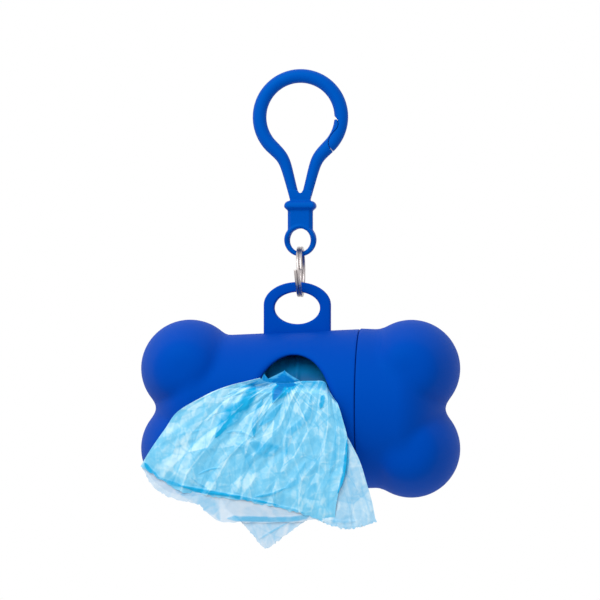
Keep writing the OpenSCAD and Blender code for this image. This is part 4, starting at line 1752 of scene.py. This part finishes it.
@dataclass
class LooseBag:
    """The bag that hangs out of the opening, and the film that leads back to the roll.
    """

    front_y: float = -22.1
    mouth_y: float = -16.6
    mouth_z: float = 7.3
    web_x: float = -0.4
    web_half: float = 8.7
    web_rise: float = 0.35
    web_ripple: float = 0.10
    web_from: float = 8.0
    web_turn: float = 60.0
    draw_from: float = -14.8
    draw_to: float = -17.0
    draw_z: float = 8.0

    def front(self) -> FilmPanel:
        """Lay out the front panel, which fans out from the opening.

        Returns:
            The panel.
        """
        folds = (
            Fold([(-9.9, 6.4), (-11.4, 3.4), (-13.6, 0.6)], 3.6, 1.0),
            Fold([(-10.8, 3.6), (-14.0, 0.6), (-17.2, -2.6), (-19.6, -6.4)], 5.0, 0.9, taper=0.6),
            Fold([(-12.6, 5.4), (-17.6, 1.6), (-22.0, -2.4)], 1.4, 0.5, taper=0.6),
            Fold([(-7.6, 3.2), (-9.4, -1.4), (-9.8, -6.4)], 1.5, 0.75),
            Fold([(-8.8, 7.9), (-12.6, 6.2), (-16.6, 4.4)], 0.8, 0.8),
            Fold([(-7.4, 6.4), (-12.4, 5.2), (-17.6, 3.4)], 0.7, 0.6),
            Fold([(-5.0, 2.4), (-3.4, 4.4), (-1.4, 5.6), (1.0, 6.9)], 2.8, 1.0, taper=0.5),
            Fold([(-2.6, 7.0), (-3.6, 5.4), (-4.7, 3.2)], 3.6, 2.0, 0.05, 0.8),
            Fold([(-4.6, 7.1), (-2.2, 6.9), (0.6, 6.8)], 1.6, 2.0, 0.05, 0.4),
            Fold([(1.4, 7.4), (4.8, 7.1), (8.6, 6.4)], 2.4, 0.65, 0.05, 0.1),
            Fold([(4.9, 4.2), (4.2, -0.5), (2.1, -3.1), (-0.8, -5.8), (-1.4, -11.4)], 1.9, 0.6),
            Fold([(8.1, 4.4), (7.8, 2.8), (7.3, 0.9)], 1.4, 0.9),
            Fold([(14.2, -7.0), (13.9, -12.4), (13.3, -16.7), (11.8, -20.8)], 1.3, 1.0),
            Fold([(6.2, -12.0), (5.4, -18.0), (4.4, -25.0)], 2.8, 0.4),
            Fold([(-37.4, -15.8), (-32.6, -18.0), (-28.0, -19.4), (-21.0, -20.5)], 1.5, 0.65, 0.15, 0.7),
            Fold([(-29.4, -19.0), (-24.5, -20.3), (-19.5, -21.1), (-13.6, -21.8)], 1.4, 1.0, 0.2, 0.5),
            Fold([(-22.4, -20.8), (-16.0, -21.7), (-10.0, -22.8), (-3.6, -24.0)], 1.3, 0.85, 0.2, 0.6),
            Fold([(-9.8, -22.0), (-5.5, -21.2), (-1.8, -19.6)], 0.8, 0.7),
            Fold([(-6.6, -24.0), (-0.8, -24.9), (3.2, -26.0)], 0.8, 0.6),
            Fold([(-38.3, -13.2), (-36.9, -15.2), (-34.6, -17.0)], 1.2, 0.85),
            Fold([(-26.2, -17.0), (-23.8, -18.8), (-21.4, -20.2)], 0.5, 0.6),
            Fold([(-24.2, -16.2), (-21.4, -15.0), (-18.4, -14.4)], 0.5, 0.6),
            Fold([(-17.0, -5.4), (-13.4, -5.2), (-9.9, -6.6)], 0.7, 0.5),
            Fold([(-4.6, -1.6), (-7.4, -3.8), (-9.9, -6.6)], 0.7, 0.4),
            Fold([(-10.6, -8.0), (-6.8, -9.8), (-3.6, -9.0)], 4.6, 0.62, taper=0.5),
            Fold([(-14.4, -8.0), (-11.4, -10.6), (-10.6, -14.6)], 3.0, 0.5, taper=0.5),
            Fold([(-2.6, 2.2), (-5.6, -1.4), (-8.4, -3.6)], 2.0, 0.6, taper=0.5),
            Fold([(-31.0, -10.6), (-28.4, -6.4), (-23.6, -4.8)], 1.4, 0.45, taper=0.5),
            Fold([(-27.6, -17.4), (-25.8, -12.6), (-23.0, -9.6)], 1.2, 0.45, taper=0.5),
            Fold([(3.4, -13.0), (1.4, -17.4), (-1.8, -19.8)], 2.2, 0.5, taper=0.5),
            Fold([(11.6, -4.0), (11.0, -10.6), (9.6, -16.4)], 1.6, 0.5, taper=0.5),
            # Negative amounts: painted highlights, lighter bands of film.
            Fold([(-9.8, 7.6), (-16.0, 6.0), (-23.4, 2.4), (-29.2, -1.2), (-33.2, -6.4)],
                 3.6, -0.22, 0.1, 0.2),
            Fold([(-13.0, 4.2), (-17.2, 2.4), (-24.0, -2.6), (-28.6, -8.0)], 1.8, -0.15, 0.1, 0.3),
            Fold([(-30.4, -8.0), (-28.4, -10.4), (-27.6, -13.6)], 4.6, -0.3, 0.1),
            Fold([(-19.4, -8.4), (-17.6, -11.4), (-18.8, -14.0)], 3.2, -0.2, 0.1),
            Fold([(-21.0, -16.4), (-14.0, -17.6), (-8.0, -18.4)], 4.4, -0.15, 0.1),
            Fold([(7.6, -2.0), (9.0, -6.4), (9.4, -12.0)], 3.0, -0.18, 0.1),
            Fold([(0.6, -20.4), (5.0, -23.0), (9.8, -26.4)], 4.4, -0.13, 0.1),
            Fold([(-33.6, -12.6), (-28.4, -16.0), (-22.0, -18.6)], 3.4, -0.22, 0.1),
        )
        return FilmPanel(
            Layer.FRONT,
            top=[(-8.4, 8.7), (-6.8, 7.5), (-3.6, 7.2), (-0.8, 7.2), (1.4, 7.7), (4.6, 7.8), (7.6, 7.7),
                 (8.8, 6.2), (9.9, 4.2)],
            hem=[(-39.3, -14.1), (-34.0, -17.8), (-29.2, -20.4), (-24.2, -21.2), (-19.2, -22.1),
                 (-13.8, -22.8), (-8.5, -23.7), (-3.0, -24.8), (2.0, -26.1), (6.6, -27.6), (11.0, -29.4)],
            left=[(-8.4, 8.7), (-12.0, 7.8), (-16.0, 6.8), (-20.2, 5.3), (-24.3, 3.2), (-28.2, 1.0),
                  (-30.6, -1.0), (-32.6, -4.0), (-34.6, -6.8), (-36.8, -10.0), (-39.3, -14.1)],
            right=[(9.9, 4.2), (11.8, 2.0), (13.1, -2.0), (14.2, -6.6), (14.1, -12.4), (13.5, -16.7),
                   (12.0, -20.8), (11.2, -25.0), (11.0, -29.4)],
            y_top=-17.3, y_low=self.front_y - 0.65, seed=11, flat=(0.048, 0.036), folds=folds, shoulder=0.9,
            tuck=0.5, rooted=0.2,
        )

    def back(self) -> list[FilmPanel]:
        """Lay out the panels behind the front one.

        Returns:
            The panels, from the front to the back.
        """
        side = FilmPanel(
            Layer.SIDE,
            top=[(9.0, 0.5), (10.4, 1.0), (11.6, 1.4)],
            hem=[(6.0, -27.4), (9.0, -28.8), (12.4, -29.8), (15.4, -30.1), (18.6, -29.2), (21.5, -28.1)],
            left=[(9.0, 0.5), (8.6, -8.0), (7.6, -18.0), (6.0, -27.4)],
            right=[(11.6, 1.4), (13.4, -4.6), (15.2, -8.1), (17.5, -12.8), (19.3, -18.6), (20.6, -23.3),
                   (21.5, -28.1)],
            y_top=-21.5, y_low=self.front_y - 0.3, seed=23, flat=(0.011, 0.031), pleats=2.5, pleat_depth=0.15,
            crumple=0.16, loft=0.3, size=(80, 150), leave=0.1,
            folds=(Fold([(14.4, -8.0), (14.0, -14.0), (12.6, -19.6)], 1.2, 0.8),
                   Fold([(18.0, -14.6), (19.4, -20.0), (20.6, -26.0)], 0.7, 0.35),
                   Fold([(15.4, -20.0), (14.8, -25.0), (15.2, -29.0)], 0.7, 0.35),
                   Fold([(7.6, -27.4), (12.0, -28.2), (16.8, -28.0)], 0.9, 0.4)),
        )
        rear = FilmPanel(
            Layer.REAR,
            top=[(-33.0, -11.0), (-15.0, -12.0), (8.0, -13.0)],
            hem=[(-39.1, -14.4), (-37.9, -17.0), (-36.6, -18.9), (-34.9, -20.5), (-32.9, -21.7),
                 (-30.8, -22.6), (-28.6, -23.1), (-26.2, -23.4), (-24.0, -24.4), (-22.2, -26.2),
                 (-18.4, -28.4), (-13.2, -28.6), (-6.0, -28.6), (0.0, -28.5), (5.0, -27.8), (8.0, -27.6)],
            left=[(-33.0, -11.0), (-36.0, -12.6), (-39.1, -14.4)],
            right=[(8.0, -13.0), (8.4, -20.0), (8.0, -27.6)],
            y_top=self.front_y - 0.35, y_low=self.front_y - 0.35, seed=31, flat=(0.038, 0.017), pleats=3.0,
            pleat_depth=0.06, crumple=0.05, loft=0.12, size=(150, 70), leave=0.0,
            folds=(Fold([(-17.0, -27.5), (-7.8, -27.7), (-1.1, -27.7), (4.4, -26.8)], 1.5, 0.95, 0.1, 0.1),
                   Fold([(-30.0, -20.6), (-24.6, -22.4), (-20.6, -25.0), (-18.8, -27.6)], 6.0, 0.6, 0.0, 0.8),
                   # A negative amount: a painted highlight.
                   Fold([(-16.6, -23.0), (-18.6, -25.4), (-21.0, -27.4)], 0.5, -0.3, 0.1)),
        )
        tail = FilmPanel(
            Layer.TAIL,
            top=[(-20.0, -19.0), (-8.0, -20.0), (6.0, -21.0)],
            hem=[(-13.1, -28.6), (-10.4, -31.5), (-7.2, -35.2), (-4.2, -33.6), (0.2, -30.4), (4.2, -27.3)],
            left=[(-20.0, -19.0), (-17.0, -25.0), (-13.1, -28.6)],
            right=[(6.0, -21.0), (5.2, -24.6), (4.2, -27.3)],
            y_top=self.front_y, y_low=self.front_y, seed=37, flat=(0.024, 0.011), pleats=2.0,
            pleat_depth=0.05, crumple=0.05, loft=0.12, size=(90, 80), leave=0.0,
            folds=(Fold([(-8.6, -32.9), (-5.0, -30.7), (-0.6, -28.3)], 0.7, 0.8, 0.1),
                   Fold([(-13.0, -28.6), (-6.0, -30.0), (3.0, -28.0)], 9.0, 0.5, 0.0, 0.3)),
        )
        return [side, rear, tail]

    def throat(self) -> FilmPanel:
        """Lay out the folded film just above the torn-off line, inside the opening.

        Returns:
            The panel.
        """
        return FilmPanel(
            Layer.THROAT,
            top=[(-8.9, 7.9), (-7.9, 9.6), (-7.9, 9.6), (-6.9, 8.3), (-6.9, 8.3), (-4.8, 9.3), (-2.6, 10.4),
                 (-2.6, 10.4), (-0.8, 9.1), (1.4, 7.9)],
            hem=[(-8.2, 0.0), (-5.6, 0.0), (-3.0, 0.0), (-0.4, 0.0), (2.2, 0.0)],
            left=[(-8.9, 7.9), (-8.5, 3.9), (-8.2, 0.0)],
            right=[(1.4, 7.9), (1.8, 4.0), (2.2, 0.0)],
            y_top=-16.4, y_low=-16.7, seed=41, flat=(0.010, 0.010), pleats=2.0, pleat_depth=0.06,
            crumple=0.05, loft=0.15, ragged=0.0, size=(80, 60), leave=0.5,
            folds=(Fold([(-5.8, 7.6), (-2.8, 8.2), (0.2, 7.6)], 2.2, 1.0, 0.0, 0.5),
                   # Negative amounts: painted highlights along the fold's rims.
                   Fold([(-2.4, 10.2), (-0.8, 9.0), (1.2, 8.0)], 0.8, -0.4, 0.1, 0.2),
                   Fold([(-6.6, 8.4), (-4.8, 9.1), (-2.8, 10.1)], 0.6, -0.4, 0.1, 0.2)),
        )

    def web(self, roll: Roll) -> bpy.types.Object:
        """Make the film that lies over the roll and turns down to the loose bag.

        Args:
            roll: The roll that it lies over.

        Returns:
            The sheet.
        """
        v, u = np.meshgrid(np.linspace(0.0, 1.0, 70), np.linspace(-1.0, 1.0, 60), indexing="ij")
        angle = np.radians(self.web_from + self.web_turn * np.clip(v / 0.86, 0.0, 1.0))
        waves = spline(np.random.default_rng(3).normal(0.0, 1.0, (18, 1)), (u + 1) / 2)[..., 0]
        r = roll.radius + self.web_rise + self.web_ripple * waves
        out = ease((v - 0.80) / 0.20)
        y = -r * np.sin(angle) * (1 - out) + self.mouth_y * out
        z = (roll.axis_z + r * np.cos(angle)) * (1 - out) + (AXIS_Z + self.mouth_z) * out
        # Painted light: the web is painted lighter towards the top of the roll, where the case shades it
        # most.
        tone = 0.5 + 0.5 * (1.0 - ease(v / 0.8))
        web = film_sheet("bag_web_film", self.web_x + self.web_half * u, y, z, tone=tone)
        return web

    def make(self, finishes: Finishes, roll: Roll) -> list[bpy.types.Object]:
        """Make, dress and place all the loose film.

        Args:
            finishes: The materials.
            roll: The roll that the film comes from.

        Returns:
            The pieces.
        """
        rear = finishes.film_rear
        skins = {Layer.SIDE: finishes.film_side, Layer.REAR: rear, Layer.TAIL: rear}
        made = [self.front().make(finishes.film, ["case_body_shell"])]
        made += [panel.make(skins[panel.layer], [Layer.FRONT.value]) for panel in self.back()]
        for panel in made:
            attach(panel, "bag")
            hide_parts("loose_bag")
        throat, web = self.throat().make(finishes.film_throat, ["bag_web_film"]), self.web(roll)
        dress(web, finishes.film_web)
        for piece in (throat, web):
            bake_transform(piece)
            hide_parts("film_web")
        return made + [throat, web]


# ---------------------------------------------------------------------------------------------- the studio


@dataclass
class Studio:
    """Camera, lamp, world and floor. Lengths are in metres, apart from the floor's."""

    azimuth: float = 5.3
    distance: float = 0.70
    view_width: float = 0.15936
    sensor: float = 36.0
    target: tuple[float, float, float] = (-0.0001, 0.0, -0.0486)
    lamp_place: tuple[float, float, float] = (-0.14, -0.30, 0.22)
    lamp_aim: tuple[float, float, float] = (0.0, 0.0, -0.07)
    lamp_size: float = 0.3
    lamp_power: float = 1.0
    sky_side: tuple[float, float, float] = (-0.3, -0.35, 0.89)
    sky: tuple[float, float] = (0.38, 0.82)
    sky_color: Color = (0.97, 0.985, 1.0, 1.0)
    floor_half: float = 900.0
    floor_z: float = -420.0

    @staticmethod
    def _aimed(name: str, data: bpy.types.ID, place: Vector, way: Vector) -> bpy.types.Object:
        """Place a camera or a lamp.

        Args:
            name: Its name.
            data: What it is.
            place: Where it stands.
            way: Where it faces.

        Returns:
            The new object.
        """
        obj = show(name, data)
        obj.location = place
        obj.rotation_mode = "QUATERNION"
        obj.rotation_quaternion = way.to_track_quat("-Z", "Y")
        return obj

    def camera(self) -> None:
        """Place the camera."""
        data = bpy.data.cameras.new("camera")
        data.sensor_width = self.sensor
        data.lens = self.sensor * self.distance / self.view_width
        data.clip_end = 20.0
        turn = math.radians(self.azimuth)
        back = Vector((math.sin(turn), -math.cos(turn), 0.0))
        place = Vector(self.target) + back * self.distance
        bpy.context.scene.camera = self._aimed("camera", data, place, -back)

    def lamp(self) -> None:
        """Add a soft square lamp that faces the dispenser."""
        data = bpy.data.lights.new("key", "AREA")
        data.shape, data.size, data.energy = "SQUARE", self.lamp_size, self.lamp_power
        place = Vector(self.lamp_place)
        self._aimed("key", data, place, Vector(self.lamp_aim) - place)

    def world(self) -> None:
        """Light the scene softly, more from the upper left, and show plain white behind it."""
        world = bpy.data.worlds.new("studio")
        world.use_nodes = True
        bpy.context.scene.world = world
        sheet = NodeSheet(world.node_tree)
        way = sheet.add("ShaderNodeTexCoord").outputs["Generated"]
        toward = sheet.vector("DOT_PRODUCT", way, self.sky_side).outputs["Value"]
        soft = sheet.ramp(toward, -1.0, 1.0, *self.sky)
        dim = sheet.add("ShaderNodeBackground", {"Color": self.sky_color, "Strength": soft})
        plain = sheet.add("ShaderNodeBackground", {"Color": (1.0, 1.0, 1.0, 1.0), "Strength": 1.0})
        path = sheet.add("ShaderNodeLightPath").outputs
        seen = sheet.math("MAXIMUM", path["Is Glossy Ray"], path["Is Transmission Ray"])
        seen = sheet.math("MAXIMUM", seen, path["Is Camera Ray"])
        blend = sheet.add("ShaderNodeMixShader", {0: seen, 1: dim.outputs[0], 2: plain.outputs[0]})
        sheet.fill(world.node_tree.nodes["World Output"], {"Surface": blend.outputs[0]})

    def floor(self) -> None:
        """Lay a white floor far below."""
        plan = MeshPlan("floor")
        far, low = self.floor_half, self.floor_z
        plan.grid(np.array([[(-far, -far, low), (far, -far, low)], [(-far, far, low), (far, far, low)]]))
        floor = plan.build(closed=False, smooth=False)
        material, sheet, shader = new_material("floor_white")
        sheet.fill(shader, {"Base Color": (0.86, 0.86, 0.86, 1.0), "Roughness": 0.9})
        floor.data.materials.append(material)
        floor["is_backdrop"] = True

    def make(self) -> None:
        """Set the whole studio up."""
        bpy.context.scene.view_settings.view_transform = "Standard"
        self.camera()
        self.world()
        self.lamp()
        self.floor()


def note_size(sizes: dict, when: str) -> None:
    """Record the whole object's box at one moment.

    Args:
        sizes: The boxes so far, which this one is added to.
        when: The name of the moment.
    """
    low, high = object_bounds()
    sizes[when] = {"low": list(low), "high": list(high), "size": list(high - low)}


def main() -> None:
    """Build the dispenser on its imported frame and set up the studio."""
    logging.basicConfig(level=logging.INFO)
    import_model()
    sizes: dict = {}
    note_size(sizes, "loaded")
    Studio().make()
    finishes = Finishes()
    roll = Roll()
    pieces: list[bpy.types.Object] = []
    for maker in (Case().make, Clip().make, SplitRing().make, roll.make):
        pieces += maker(finishes)
    pieces += LooseBag().make(finishes, roll)
    for piece in pieces:
        LOG.info("%s: %d faces", piece.name, len(piece.data.polygons))
    note_size(sizes, "dressed")


if __name__ == "__main__":
    main()
